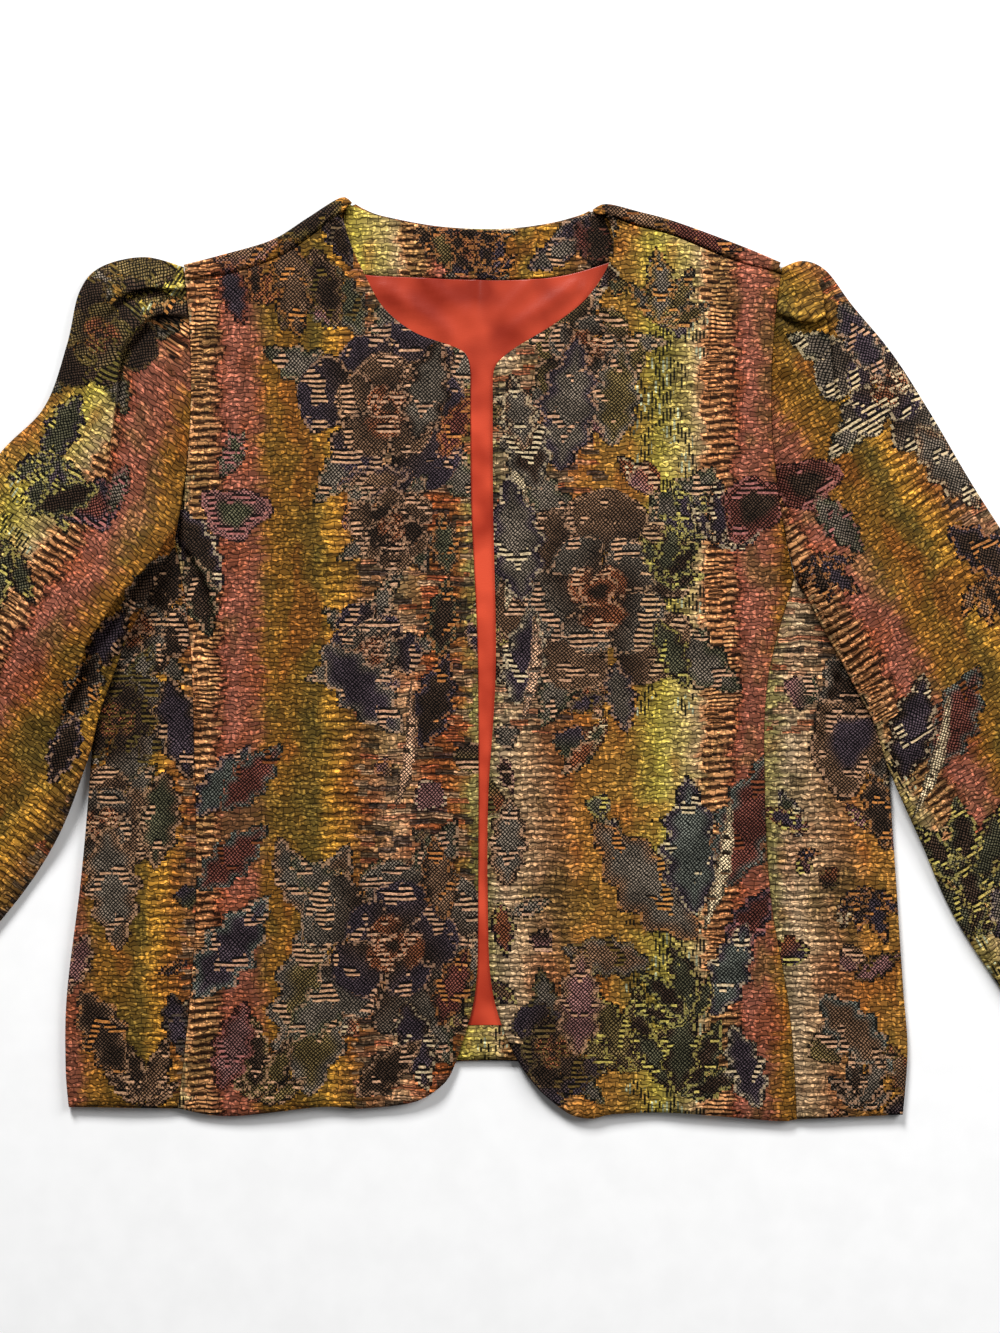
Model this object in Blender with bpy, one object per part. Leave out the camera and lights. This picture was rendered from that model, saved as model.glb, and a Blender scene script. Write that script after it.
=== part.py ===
"""Collarless open-front blazer in tapestry cloth, laid flat on its back.

X runs across the jacket, Y from the hem to the neck and Z up from the surface that it lies on.
Left and right are as seen from above. The tables are in millimetres, x from the centre front line and
y from the level of the front hem. Each panel is a sheet of its outer face, given its wall by Solidify.
"""
from math import cos, pi, sin

import bpy
import numpy as np

MM = 0.001

# Cloth and layers, in millimetres
CLOTH = 1.6
SATIN = 1.0
SEAM_GAP = 0.5
LAYER_GAP = 0.3
INNER_BASE = CLOTH + LAYER_GAP
FRONT_BASE = INNER_BASE + CLOTH + 0.5
FRONT_TOP = FRONT_BASE + CLOTH
SIDE_FOLD = FRONT_TOP / 2
HEM_TURN_UP = 23.0
NECK_INSET = 1.0
NECK_EASE = 1.8

# Where the row's origin lies in the tables' plane
CENTRE_X = -10.0
CENTRE_Y = 298.5

# Number of cells in the meshes
SEAM_ROWS = 12
ARMHOLE_ROWS = 8
SHOULDER_COLUMNS = 9
NECK_COLUMNS = 12
LINING_ROWS = 4
SIDE_FRONT_COLUMNS = 4
SIDE_BACK_COLUMNS = 3
FOLD_STEPS = 4
SLEEVE_TOP_STEPS = 18
SLEEVE_UNDER_STEPS = 6

# Front edge from the rounded hem corner to the neckline: x, y
FRONT_EDGE = {
    "left": [(-30, 19), (-22, 29), (-12, 57), (-6, 85), (-4.6, 127), (-4.6, 293), (-9, 400), (-9.5, 485)],
    "right": [(36, 17), (23, 34), (11, 60), (4, 88), (2, 127), (2, 206), (7, 293), (5.2, 400), (5, 482)],
}

# Neckline of the fronts from the front edge to the shoulder seam: x, y
FRONT_NECK = {
    "left": [(-9.5, 485), (-11.5, 495), (-19, 501), (-46, 511), (-66, 527), (-79, 548), (-90, 566), (-101, 585)],
    "right": [(5, 482), (8, 491), (20, 501), (43, 515), (64, 531), (78, 550), (84, 568), (85.5, 584.5)],
}

# Front hem from the rounded corner to the side-front seam: x, y
FRONT_HEM = {
    "left": [(-30, 19), (-47, 10), (-81, 6), (-108, 7), (-166, 1), (-199.6, 6)],
    "right": [(36, 17), (54, 3), (69, -0.5), (85, 2.5), (126, 3), (188, -2), (203, -1)],
}

# Side-front seam from the hem to the armhole: x, y
SIDE_SEAM = {
    "left": [(-199.6, 6), (-192, 77), (-188, 142), (-189, 233), (-192, 311), (-201.5, 376)],
    "right": [(203, -1), (198, 70), (186, 142), (182, 215), (184, 285), (201.5, 352)],
}

# Side fold from the hem to the underarm: x, y
SIDE_EDGE = {
    "left": [(-271, 7), (-273, 34), (-272, 82), (-262.6, 159), (-256, 237), (-249, 340)],
    "right": [(272, 2), (275, 44), (272, 86), (266.5, 169), (262.6, 225), (256, 328)],
}

# Seam between the side panel and the back, under the jacket, from the hem to the armhole: x, y
BACK_SEAM = {
    "left": [(-216, 9), (-214, 150), (-211, 260), (-204, 364)],
    "right": [(216, 4), (214, 150), (211, 250), (204.5, 344)],
}

# Armhole, a chord from shoulder to underarm that bows toward the body: top x, top y, foot x, foot y, bow
ARMHOLE = {
    "left": (-196.5, 553.5, -202.5, 371.0, 8.0),
    "right": (193.5, 553.0, 202.0, 350.0, -11.0),
}

# Shoulder from the neck to the armhole: fold x, fold y, seam x, seam y
SHOULDER = {
    "left": [(-93.6, 598.7, -101, 585), (-116, 585, -110.5, 575.5), (-139, 571, -135, 559.5),
             (-173, 561, -171, 547.5), (-196, 555, -195, 545)],
    "right": [(76, 594, 85.5, 584.5), (100, 589.5, 99, 580), (124, 583, 122, 574),
              (165, 568, 162, 557.5), (192.5, 556.5, 193, 549)],
}

# Back neck edge between the shoulders: x, y
BACK_NECK = [(-93.6, 596), (-81, 590), (-64, 585.5), (-29, 580), (10, 578.5), (41, 581), (62, 586), (76, 592)]

# Lower edge of the back neck facing: x, y
FACING_FOOT = [(-94, 556), (-80, 549), (-50, 547), (10, 545), (51, 548), (88, 559)]

# Back hem between the back seams: x, y
BACK_HEM = [(-216, 9), (-110, 29), (-30, 36), (30, 36), (110, 28), (216, 4)]

# Outer edge of the lining from its foot to its head: x, y
LINING_EDGE = {
    "left": [(-208, 34), (-202, 200), (-196, 350), (-184, 450), (-182, 520)],
    "right": [(208, 30), (202, 200), (196, 340), (179, 450), (178, 520)],
}

# Soft rises of the fronts: x, y, reach across, reach along, height
FRONT_SWELLS = [
    (-104, 590, 34, 34, 3.2),
    (86, 590, 34, 34, 3.2),
    (-95, 400, 60, 110, 1.6),
    (100, 390, 60, 110, 1.6),
    (-125, 60, 34, 90, 1.5),
    (-60, 110, 26, 120, 0.8),
    (75, 90, 28, 110, 1.2),
    (150, 70, 32, 90, 1.5),
]

# Sleeve sections from armhole to cuff: outer x, outer y, inner x, inner y, height
SLEEVE = {
    "left": [
        (-196.5, 553.5, -202.5, 371, FRONT_TOP),
        (-222, 560, -206, 364, 12.5),
        (-250, 553.5, -211, 354, 15.0),
        (-264, 537, -217, 342, 15.0),
        (-272, 503, -224, 328, 14.0),
        (-287, 462, -232, 312, 13.0),
        (-318, 429, -240, 291, 12.0),
        (-352, 371, -250, 263, 11.0),
        (-385, 312, -258, 232, 10.0),
        (-420, 250, -280, 178, 9.0),
        (-460, 182, -320, 122, 8.0),
        (-521, 89, -408, 24, 6.5),
    ],
    "right": [
        (193.5, 553, 202, 350, FRONT_TOP),
        (207, 557.5, 205, 346, 11.5),
        (222, 551, 209, 338, 14.0),
        (239, 528.5, 214, 328, 14.5),
        (265, 497, 222, 313, 14.0),
        (290, 458, 231, 297, 13.0),
        (317, 412, 242, 276, 12.0),
        (350, 360, 252, 257, 11.0),
        (385, 300, 263, 224, 10.0),
        (415, 240, 283, 180, 9.0),
        (448, 175, 311, 121, 8.0),
        (501, 73, 386, 12, 6.5),
    ],
}

# Sections at which the sleeves are built, close together in the gathered head
SLEEVE_STATIONS = [0, 0.3, 0.6, 1, 1.4, 1.8, 2.2, 2.7, 3.2, 3.8, 4.5, 5.2, 6, 7, 8, 9, 9.7, 10.4, 11]

# Gathers and folds of the sleeves, each a line of rows: section, share of the way to the inner edge, height, reach
SLEEVE_FOLDS = {
    "left": [
        [(0.2, 0.05, 2.0, 12), (1.2, 0.06, 3.5, 14), (2.2, 0.05, 1.0, 16)],
        [(0, 0.10, -1.0, 5), (0.6, 0.11, -4.5, 6), (1.7, 0.12, -3.0, 7), (2.5, 0.14, 0, 8)],
        [(0, 0.16, 0.6, 7), (0.7, 0.20, 2.5, 9), (1.6, 0.28, 2.0, 12), (3, 0.36, 0, 14)],
        [(0, 0.30, 0.4, 7), (0.8, 0.35, 1.5, 9), (1.8, 0.40, 0, 12)],
        [(0.4, 0.86, 0, 14), (3, 0.84, 3.0, 16), (6, 0.82, 3.0, 18), (8, 0.80, 0, 18)],
    ],
    "right": [
        [(0, 0.05, 0.6, 8), (0.8, 0.07, 3.0, 12), (2, 0.10, 0.5, 14)],
        [(0.3, 0.10, 0, 6), (1.1, 0.15, -3.0, 6), (2.4, 0.36, -2.2, 7), (2.8, 0.50, -1.6, 8), (4, 0.59, 0, 9)],
        [(0, 0.14, 0.6, 6), (0.7, 0.17, 2.2, 8), (1.6, 0.24, 1.0, 10), (2.6, 0.30, 0, 10)],
        [(0, 0.22, 0.5, 6), (0.7, 0.26, 2.0, 8), (1.7, 0.32, 0, 10)],
        [(1, 0.92, 0, 14), (4, 0.88, 2.0, 16), (7, 0.86, 1.5, 18), (9, 0.85, 0, 18)],
    ],
}

# How far the sleeve is lifted where it lies over the side panel, and how far before that it starts to rise
OVERLAP_LIFT = FRONT_TOP + 1.6
OVERLAP_RUN = 36.0

TAPESTRY = {"name": "tapestry", "color": (0.20, 0.12, 0.045, 1), "roughness": 0.85}
LINING = {"name": "lining", "color": (0.62, 0.07, 0.03, 1), "roughness": 0.4}


def spline(rows, at):
    """Rows of a table at fractional row numbers, on a smooth curve through the rows."""
    rows = np.asarray(rows, float)
    last = len(rows) - 1
    at = np.clip(np.asarray(at, float), 0, last)
    i = np.minimum(at.astype(int), last - 1)
    t = (at - i)[:, None]
    before, here = rows[np.maximum(i - 1, 0)], rows[i]
    after, beyond = rows[i + 1], rows[np.minimum(i + 2, last)]
    slope_in, slope_out = (after - before) / 2, (beyond - here) / 2
    change = after - here
    return here + t * (slope_in + t * (3 * change - 2 * slope_in - slope_out
                                       + t * (slope_in + slope_out - 2 * change)))


def along(rows, cells, ease=1.0):
    """cells + 1 rows by length along the smooth curve through a table's rows, closer at its start with more ease."""
    fine = spline(rows, np.linspace(0, len(rows) - 1, 24 * len(rows)))
    length = np.r_[0, np.cumsum(np.hypot(*np.diff(fine[:, :2], axis=0).T))]
    at = length[-1] * np.linspace(0, 1, cells + 1) ** ease
    return np.column_stack([np.interp(at, length, column) for column in fine.T])


def patch(foot, head, start, end):
    """Grid of points filling the space between four edges; start and end run from foot to head."""
    u = np.linspace(0, 1, len(foot))[None, :, None]
    v = np.linspace(0, 1, len(start))[:, None, None]
    sides = (1 - v) * foot[None] + v * head[None] + (1 - u) * start[:, None] + u * end[:, None]
    corners = (1 - u) * (1 - v) * foot[0] + u * (1 - v) * foot[-1] + (1 - u) * v * head[0] + u * v * head[-1]
    return sides - corners


def outward(side):
    """Direction along X that leads away from the centre front."""
    return -1 if side == "left" else 1


def armhole(side, share):
    """Points of the armhole at shares of the way from the shoulder to the underarm."""
    top_x, top_y, foot_x, foot_y, bow = ARMHOLE[side]
    share = np.asarray(share, float)
    x = top_x + share * (foot_x - top_x) + 4 * bow * share * (1 - share)
    y = top_y + share * (foot_y - top_y)
    return np.column_stack([x, y])


def armhole_share(side, y):
    """Share of the way down the armhole at a height on it."""
    _, top_y, _, foot_y, _ = ARMHOLE[side]
    return (y - top_y) / (foot_y - top_y)


def front_lift(x, y):
    """Height of the fronts' soft rises."""
    lift = np.zeros(np.broadcast(x, y).shape)
    for centre_x, centre_y, across, length, height in FRONT_SWELLS:
        lift += height * np.exp(-((x - centre_x) / across) ** 2 - ((y - centre_y) / length) ** 2)
    return lift


def seam_points(side):
    """Points of the side-front seam that the front and the side panel share."""
    return along(SIDE_SEAM[side], SEAM_ROWS)


def material(look):
    """Principled material for one cloth."""
    made = bpy.data.materials.new(look["name"])
    made.use_nodes = True
    shader = made.node_tree.nodes["Principled BSDF"]
    shader.inputs["Base Color"].default_value = look["color"]
    shader.inputs["Roughness"].default_value = look["roughness"]
    shader.inputs["Metallic"].default_value = 0.0
    return made


def sheet(name, points, wall, look, root, ring=False, kept=None, grows_up=False):
    """Object of a grid of points in millimetres; the wall grows up from it or in from its outer face."""
    rows, columns = points.shape[:2]
    spans = columns if ring else columns - 1
    faces = []
    for i in range(rows - 1):
        for j in range(spans):
            if kept is None or kept[i, j]:
                k = (j + 1) % columns
                faces.append((i * columns + j, i * columns + k, (i + 1) * columns + k, (i + 1) * columns + j))
    used = sorted({corner for face in faces for corner in face})
    number = {corner: place for place, corner in enumerate(used)}
    placed = (points.reshape(-1, 3)[used] - (CENTRE_X, CENTRE_Y, 0)) * MM
    mesh = bpy.data.meshes.new(name)
    mesh.from_pydata(placed.tolist(), [], [[number[corner] for corner in face] for face in faces])
    mesh.materials.append(look)
    made = bpy.data.objects.new(name, mesh)
    bpy.context.collection.objects.link(made)
    made.parent = root
    solidify = made.modifiers.new("wall", "SOLIDIFY")
    solidify.thickness = wall * MM
    solidify.offset = 1 if grows_up else -1
    return made


def with_height(plane, height):
    """Grid of plane points with a height for each."""
    return np.dstack([plane, np.broadcast_to(height, plane.shape[:2])])


def front(side, look, root):
    """Front panel between the open edge, the hem, the side-front seam, the armhole and the shoulder seam."""
    out = outward(side)
    seam = seam_points(side)
    shoulder = along(SHOULDER[side], SHOULDER_COLUMNS)[:, 2:]
    shares = np.linspace(armhole_share(side, seam[-1, 1]), armhole_share(side, shoulder[-1, 1]), ARMHOLE_ROWS + 1)
    outer = np.vstack([seam[:-1], armhole(side, shares)])
    outer[-1] = shoulder[-1]
    outer[:, 0] -= out * SEAM_GAP / 2
    inner = np.vstack([along(FRONT_EDGE[side], SEAM_ROWS, 1.5)[:-1], along(FRONT_NECK[side], ARMHOLE_ROWS)])
    foot = along(FRONT_HEM[side], SHOULDER_COLUMNS)
    shoulder[:, 1] -= NECK_EASE * np.linspace(1, 0, len(shoulder)) ** 2
    foot[-1], shoulder[-1] = outer[0], outer[-1]
    foot[0], inner[-1] = inner[0], shoulder[0]
    plane = patch(foot, shoulder, inner, outer)
    points = with_height(plane, FRONT_BASE + front_lift(plane[..., 0], plane[..., 1]))
    if out > 0:
        return sheet("front_right", points, CLOTH, look, root, grows_up=True)
    return sheet("front_left", points[:, ::-1], CLOTH, look, root, grows_up=True)


def side_panel(side, look, root):
    """Side panel from the side-front seam over the side fold to the back seam, as its outer face."""
    out = outward(side)
    seam = seam_points(side)
    seam[:, 0] += out * SEAM_GAP / 2
    edge = along(SIDE_EDGE[side], SEAM_ROWS)
    back_seam = along(BACK_SEAM[side], SEAM_ROWS)
    back_seam[:, 0] += out * SEAM_GAP / 2
    rise = front_lift(seam[:, 0], seam[:, 1])
    turn = edge - (out * SIDE_FOLD, 0)
    points = []
    for share in np.linspace(0, 1, SIDE_FRONT_COLUMNS + 1)[:-1]:
        height = FRONT_TOP + rise * (1 - share) ** 2
        points.append(np.column_stack([seam + share * (turn - seam), height]))
    for step in range(FOLD_STEPS + 1):
        angle = pi * step / FOLD_STEPS
        x = turn[:, 0] + out * SIDE_FOLD * sin(angle)
        height = np.full(len(x), SIDE_FOLD * (1 + cos(angle)))
        points.append(np.column_stack([x, turn[:, 1], height]))
    for share in np.linspace(0, 1, SIDE_BACK_COLUMNS + 1)[1:]:
        points.append(np.column_stack([turn + share * (back_seam - turn), np.zeros(len(turn))]))
    points = np.array(points).transpose(1, 0, 2)
    if out > 0:
        return sheet("side_panel_right", points, CLOTH, look, root)
    return sheet("side_panel_left", points[:, ::-1], CLOTH, look, root)


def back(look, root):
    """Back panel on the ground, with the strips that roll over the shoulders to the forward seams."""
    shoulders, tops = {}, {}
    for side in ("left", "right"):
        rows = along(SHOULDER[side], SHOULDER_COLUMNS)
        shoulders[side] = rows
        tops[side] = FRONT_TOP + front_lift(rows[:, 2], rows[:, 3])
    neck = along(BACK_NECK, NECK_COLUMNS)[1:-1]
    columns = 2 * SHOULDER_COLUMNS + NECK_COLUMNS
    strip_rows = []
    for step in range(FOLD_STEPS + 1):
        strip_rows.append(strip_row(shoulders, tops, neck, -pi / 2 + pi * step / FOLD_STEPS))
    strip_rows.append(strip_seam(shoulders, tops, neck))
    head = strip_rows[0][:, :2]
    sides = {}
    for side in ("left", "right"):
        seam = along(BACK_SEAM[side], SEAM_ROWS)
        end_y = head[0 if side == "left" else -1, 1]
        shares = np.linspace(min(1, armhole_share(side, seam[-1, 1])), armhole_share(side, end_y), ARMHOLE_ROWS + 1)
        edge = np.vstack([seam, armhole(side, shares)[1:]])
        edge[:, 0] -= outward(side) * SEAM_GAP / 2
        sides[side] = edge
    foot = along(BACK_HEM, columns)
    foot[0], foot[-1] = sides["left"][0], sides["right"][0]
    sides["left"][-1], sides["right"][-1] = head[0], head[-1]
    flat = with_height(patch(foot, head, sides["left"], sides["right"]), 0.0)
    points = np.concatenate([flat, np.array(strip_rows[1:])])
    kept = np.ones((len(points) - 1, columns), bool)
    kept[len(flat) - 1:, SHOULDER_COLUMNS:-SHOULDER_COLUMNS] = False
    return sheet("back", points[:, ::-1], CLOTH, look, root, kept=kept[:, ::-1])


def across(line, toward):
    """Unit directions across a line of points, on the side of the points that they face."""
    way = np.gradient(line, axis=0)
    normal = np.column_stack([-way[:, 1], way[:, 0]]) / np.linalg.norm(way, axis=1)[:, None]
    facing = np.sign(np.sum(normal * (toward - line), axis=1))
    return normal * facing[:, None]


def strip_row(shoulders, tops, neck, angle):
    """One row of the shoulder fold across the back, from its left end to its right end, at an angle of the turn."""
    ends = {}
    for side, rows in shoulders.items():
        fold, seam = rows[:, :2], rows[:, 2:]
        radius = tops[side][:, None] / 2
        plane = fold + across(fold, seam) * radius * (1 - cos(angle))
        ends[side] = np.hstack([plane, radius * (1 + sin(angle))])
    middle = np.column_stack([neck, np.zeros(len(neck))])
    return np.vstack([ends["left"][::-1], middle, ends["right"]])


def strip_seam(shoulders, tops, neck):
    """Row of the strips' edges at the forward shoulder seams."""
    ends = {}
    for side, rows in shoulders.items():
        fold, seam = rows[:, :2], rows[:, 2:]
        ends[side] = np.column_stack([seam - across(seam, 2 * seam - fold) * SEAM_GAP, tops[side]])
    middle = np.column_stack([neck, np.zeros(len(neck))])
    return np.vstack([ends["left"][::-1], middle, ends["right"]])


def back_neck_facing(look, root):
    """Tapestry band on the inside of the back neck."""
    head = along(BACK_NECK[1:-1], NECK_COLUMNS)
    head[:, 1] -= NECK_INSET
    foot = along(FACING_FOOT, NECK_COLUMNS)
    start = np.linspace(foot[0], head[0], 3)
    end = np.linspace(foot[-1], head[-1], 3)
    points = with_height(patch(foot, head, start, end), INNER_BASE)
    return sheet("back_neck_facing", points, CLOTH, look, root, grows_up=True)


def back_lining(look, root):
    """Satin on the inside of the back, from the neck facing down to the hem turn-up."""
    left, right = (along(LINING_EDGE[side], LINING_ROWS) for side in ("left", "right"))
    facing = along(FACING_FOOT, NECK_COLUMNS) - (0, SEAM_GAP)
    before = np.linspace(left[-1], facing[0], LINING_ROWS + 1)[:-1]
    after = np.linspace(facing[-1], right[-1], LINING_ROWS + 1)[1:]
    head = np.vstack([before, facing, after])
    foot = turn_up_edge(HEM_TURN_UP + SEAM_GAP, len(head) - 1)
    left[0], right[0] = foot[0], foot[-1]
    points = with_height(patch(foot, head, left, right), INNER_BASE)
    return sheet("back_lining", points, SATIN, look, root, grows_up=True)


def turn_up_edge(depth, cells):
    """Line that follows the back hem at a depth above it."""
    line = along(BACK_HEM[1:-1], cells)
    line[:, 1] += depth
    return line


def back_hem_turn_up(look, root):
    """Tapestry strip turned up on the inside of the back hem."""
    foot, head = turn_up_edge(NECK_INSET, NECK_COLUMNS), turn_up_edge(HEM_TURN_UP, NECK_COLUMNS)
    start, end = np.linspace(foot[0], head[0], 2), np.linspace(foot[-1], head[-1], 2)
    points = with_height(patch(foot, head, start, end), INNER_BASE)
    return sheet("back_hem_turn_up", points, CLOTH, look, root, grows_up=True)


def overlap_lift(side, plane):
    """Height of the sleeve's underside: zero on the ground, raised where it lies over the side panel."""
    out = outward(side)
    edge = along(SIDE_EDGE[side], 40)
    order = np.argsort(edge[:, 1])
    beside = out * (plane[:, 0] - np.interp(plane[:, 1], edge[order, 1], edge[order, 0]))
    head, foot = np.array(SIDE_SEAM[side][-1], float), np.array(SIDE_EDGE[side][-1], float)
    slope = (head[1] - foot[1]) / (head[0] - foot[0])
    above = (plane[:, 1] - foot[1] - slope * (plane[:, 0] - foot[0])) / np.hypot(1, slope)
    near = np.clip(1 - np.maximum(beside, above) / OVERLAP_RUN, 0, 1)
    return OVERLAP_LIFT * near * near * (3 - 2 * near)


def sleeve_folds(side, station, share, length):
    """Height that the gathers and folds add at a section, for shares of the way across it."""
    added = np.zeros(len(share))
    for fold in SLEEVE_FOLDS[side]:
        rows = np.array(fold, float)
        if rows[0, 0] <= station <= rows[-1, 0]:
            line, height, reach = (np.interp(station, rows[:, 0], rows[:, column]) for column in (1, 2, 3))
            added += height * np.exp(-((share - line) * length / reach) ** 2)
    return added


def sleeve_ring(side, station, row):
    """Section of a sleeve: crowned top, rounded edges and a flat underside."""
    outer, inner, height = row[:2], row[2:4], row[4]
    length = np.linalg.norm(inner - outer)
    way = (inner - outer) / length
    bow = ARMHOLE[side][4] * max(0.0, 1 - station / 2.5) ** 2
    radius = FRONT_TOP / 2
    margin = radius / length

    def plane(share):
        share = np.asarray(share, float)
        points = outer + share[:, None] * (inner - outer)
        points[:, 0] += 4 * bow * share * (1 - share) + outward(side) * SEAM_GAP / 2
        return points

    step = np.linspace(0, 1, SLEEVE_TOP_STEPS + 1)
    share = margin + (1 - 2 * margin) * (0.4 * step + 0.6 * step ** 2)
    top = plane(share)
    crown = np.sqrt(np.clip((share - margin) * (1 - margin - share), 0, None)) / (0.5 - margin)
    rise = (height - FRONT_TOP) * crown + sleeve_folds(side, station, share, length) * np.minimum(1, 3 * crown)
    parts = [np.column_stack([top, overlap_lift(side, top) + FRONT_TOP + np.maximum(rise, 0)])]
    under = plane(1 - margin - (1 - 2 * margin) * np.linspace(0, 1, SLEEVE_UNDER_STEPS + 1) ** 1.6)
    floor = np.column_stack([under, overlap_lift(side, under)])
    for centre, lift, turn in ((under[0], floor[0, 2], 1), (under[-1], floor[-1, 2], -1)):
        arc = []
        for number in range(1, FOLD_STEPS):
            angle = pi * number / FOLD_STEPS
            height_here = radius * (1 + turn * cos(angle))
            arc.append((*(centre + turn * way * radius * sin(angle)), lift + height_here))
        parts.append(np.array(arc))
    return np.vstack([parts[0], parts[1], floor, parts[2]])


def sleeve(side, look, root):
    """Set-in sleeve as a flattened tube from the armhole to the open cuff."""
    sections = spline(SLEEVE[side], SLEEVE_STATIONS)
    rings = np.array([sleeve_ring(side, at, row) for at, row in zip(SLEEVE_STATIONS, sections)])
    name = "sleeve_" + side
    return sheet(name, rings if side == "right" else rings[:, ::-1], CLOTH, look, root, ring=True)


def main():
    """Clear the scene and build the jacket."""
    for old in list(bpy.data.objects):
        bpy.data.objects.remove(old, do_unlink=True)
    root = bpy.data.objects.new("blazer", None)
    bpy.context.collection.objects.link(root)
    tapestry, lining = material(TAPESTRY), material(LINING)
    back(tapestry, root)
    back_neck_facing(tapestry, root)
    back_lining(lining, root)
    back_hem_turn_up(tapestry, root)
    for side in ("left", "right"):
        front(side, tapestry, root)
        side_panel(side, tapestry, root)
        sleeve(side, tapestry, root)


main()
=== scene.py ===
"""Looks of the collarless tapestry blazer, laid flat on its back and seen from above.

The tables are in millimetres, x from the centre front line and y from the level of the front hem, as in the
part's source. Left and right are as seen from above. Each panel is a fine shell on the form of its solid,
with listed folds. The flowers, leaves and berries are drawn from formulas and set out by a table.
"""
from functools import partialmethod
from math import cos, pi, radians, sin

import bpy
import numpy as np
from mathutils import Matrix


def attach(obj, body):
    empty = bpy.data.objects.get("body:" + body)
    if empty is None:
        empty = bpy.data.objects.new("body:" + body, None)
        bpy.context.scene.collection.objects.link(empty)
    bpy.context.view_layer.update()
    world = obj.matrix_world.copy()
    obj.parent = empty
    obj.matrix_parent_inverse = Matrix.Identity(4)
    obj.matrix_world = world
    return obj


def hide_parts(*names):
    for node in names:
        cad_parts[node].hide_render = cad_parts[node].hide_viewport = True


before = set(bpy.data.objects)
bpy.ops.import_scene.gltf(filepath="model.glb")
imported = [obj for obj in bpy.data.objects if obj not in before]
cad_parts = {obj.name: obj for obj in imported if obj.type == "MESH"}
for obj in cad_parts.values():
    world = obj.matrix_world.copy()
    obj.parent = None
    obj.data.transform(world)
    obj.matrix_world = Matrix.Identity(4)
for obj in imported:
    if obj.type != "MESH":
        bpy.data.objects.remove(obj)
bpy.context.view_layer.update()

MM = 0.001
SIDES = ("left", "right")

# Cloth and layers, in millimetres
CLOTH = 1.6
SATIN = 1.0
SEAM_GAP = 0.2
LAYER_GAP = 0.3
INNER_BASE = CLOTH + LAYER_GAP
FRONT_BASE = INNER_BASE + CLOTH + 0.5
FRONT_TOP = FRONT_BASE + CLOTH
FRONT_LOW = FRONT_TOP - 1.8
SIDE_FOLD = FRONT_TOP / 2
HEM_TURN_UP = 23.0
NECK_INSET = 1.0
NECK_EASE = 1.8

# Where the row's origin lies in the tables' plane
CENTRE_X = -10.0
CENTRE_Y = 298.5

# Cells of the shells
SEAM_ROWS = 210
ARMHOLE_ROWS = 104
FRONT_COLUMNS = 120
SHOULDER_COLUMNS = 40
NECK_COLUMNS = 60
FACING_ROWS = 18
LINING_ROWS = 120
LINING_SIDE_COLUMNS = 24
LINING_RIM = 0.0008
CURVE_POINTS = 24
HEM_ROWS = 8
SIDE_FRONT_COLUMNS = 34
SIDE_BACK_COLUMNS = 14
FOLD_STEPS = 8
BACK_STRIDE = 2
SLEEVE_RINGS = 300
STATION_POINTS = 400
SLEEVE_TOP_STEPS = 110
SLEEVE_UNDER_STEPS = 26

# Loose cloth is slightly uneven: heights of its broad and small ripples, and their share on inner panels
BROAD_RIPPLE = 0.35
SMALL_RIPPLE = 0.13
FACING_RIPPLE = 0.25
LINING_RIPPLE = 0.15
TURN_UP_RIPPLE = 0.2

# Sewn seams: depth and reach of the groove and of the puckered hollow beside it, and share at shoulders
SEAM_GROOVE = (1.25, 2.6)
SEAM_HOLLOW = (0.45, 8.0)
SHOULDER_SEAM = 0.6

# Turned edges: height, place and reach of the full part, then depth and reach of the rounded rim
EDGE_FULL = (0.55, 7.0, 5.0)
EDGE_RIM = (1.1, 1.8)

# Neck facing: dip at its foot, its row of stitches up to an x, and its full head, each with height and reach
FACING_DIP = (0.4, 1.5)
FACING_STITCHES = (0.7, 6.4, 1.0)
FACING_STITCHES_END = -38
FACING_FULL = (0.3, 3.0, 2.0)

# Least and most height of the lining's creases, and how soon the side panel's folds fade at the side fold
LINING_FOLDS = (-0.1, 1.9)
SIDE_FADE = 6

# Rows of the shoulder strips between the fold and the seam, as shares of the way
STRIP_SHARES = (0.4, 0.75)

# Sleeve: sections over which the armhole's bow fades, how fast folds grow from the edges and the seam, lowest
# dip of its top in millimetres, and how its columns and sections crowd together
BOW_FADE = 2.5
EDGE_HOLD = 3
SEAM_HOLD = 2
SEAM_SPREAD = 12
SLEEVE_LOW = -1.2
UNDER_EASE = 1.6
HEAD_EASE = 0.4

# Small gathers of the sleeve head: reach along the sleeve and where they start, in sections, and share across
GATHER_REACH = 0.9
GATHER_START = 0.12
GATHER_SHARE = 0.42

# Front edge from the rounded hem corner to the neckline: x, y
FRONT_EDGE = {
    "left": [(-30, 19), (-22, 29), (-12, 57), (-6, 85), (-4.6, 127), (-4.6, 293), (-9, 400), (-9.5, 485)],
    "right": [(36, 17), (23, 34), (11, 60), (4, 88), (2, 127), (2, 206), (7, 293), (5.2, 400), (5, 482)],
}

# Neckline of the fronts from the front edge to the shoulder seam: x, y
FRONT_NECK = {
    "left": [(-9.5, 485), (-11.5, 495), (-19, 501), (-46, 511), (-66, 527), (-78, 548), (-86.5, 566),
             (-93.5, 588)],
    "right": [(5, 482), (8, 491), (20, 501), (43, 515), (64, 531), (78, 550), (83.5, 568), (79.5, 587)],
}

# Front hem from the rounded corner to the side-front seam: x, y
FRONT_HEM = {
    "left": [(-30, 19), (-47, 10), (-81, 6), (-108, 7), (-166, 1), (-199.6, 6)],
    "right": [(36, 17), (54, 3), (69, -0.5), (85, 2.5), (126, 3), (188, -2), (203, -1)],
}

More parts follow.
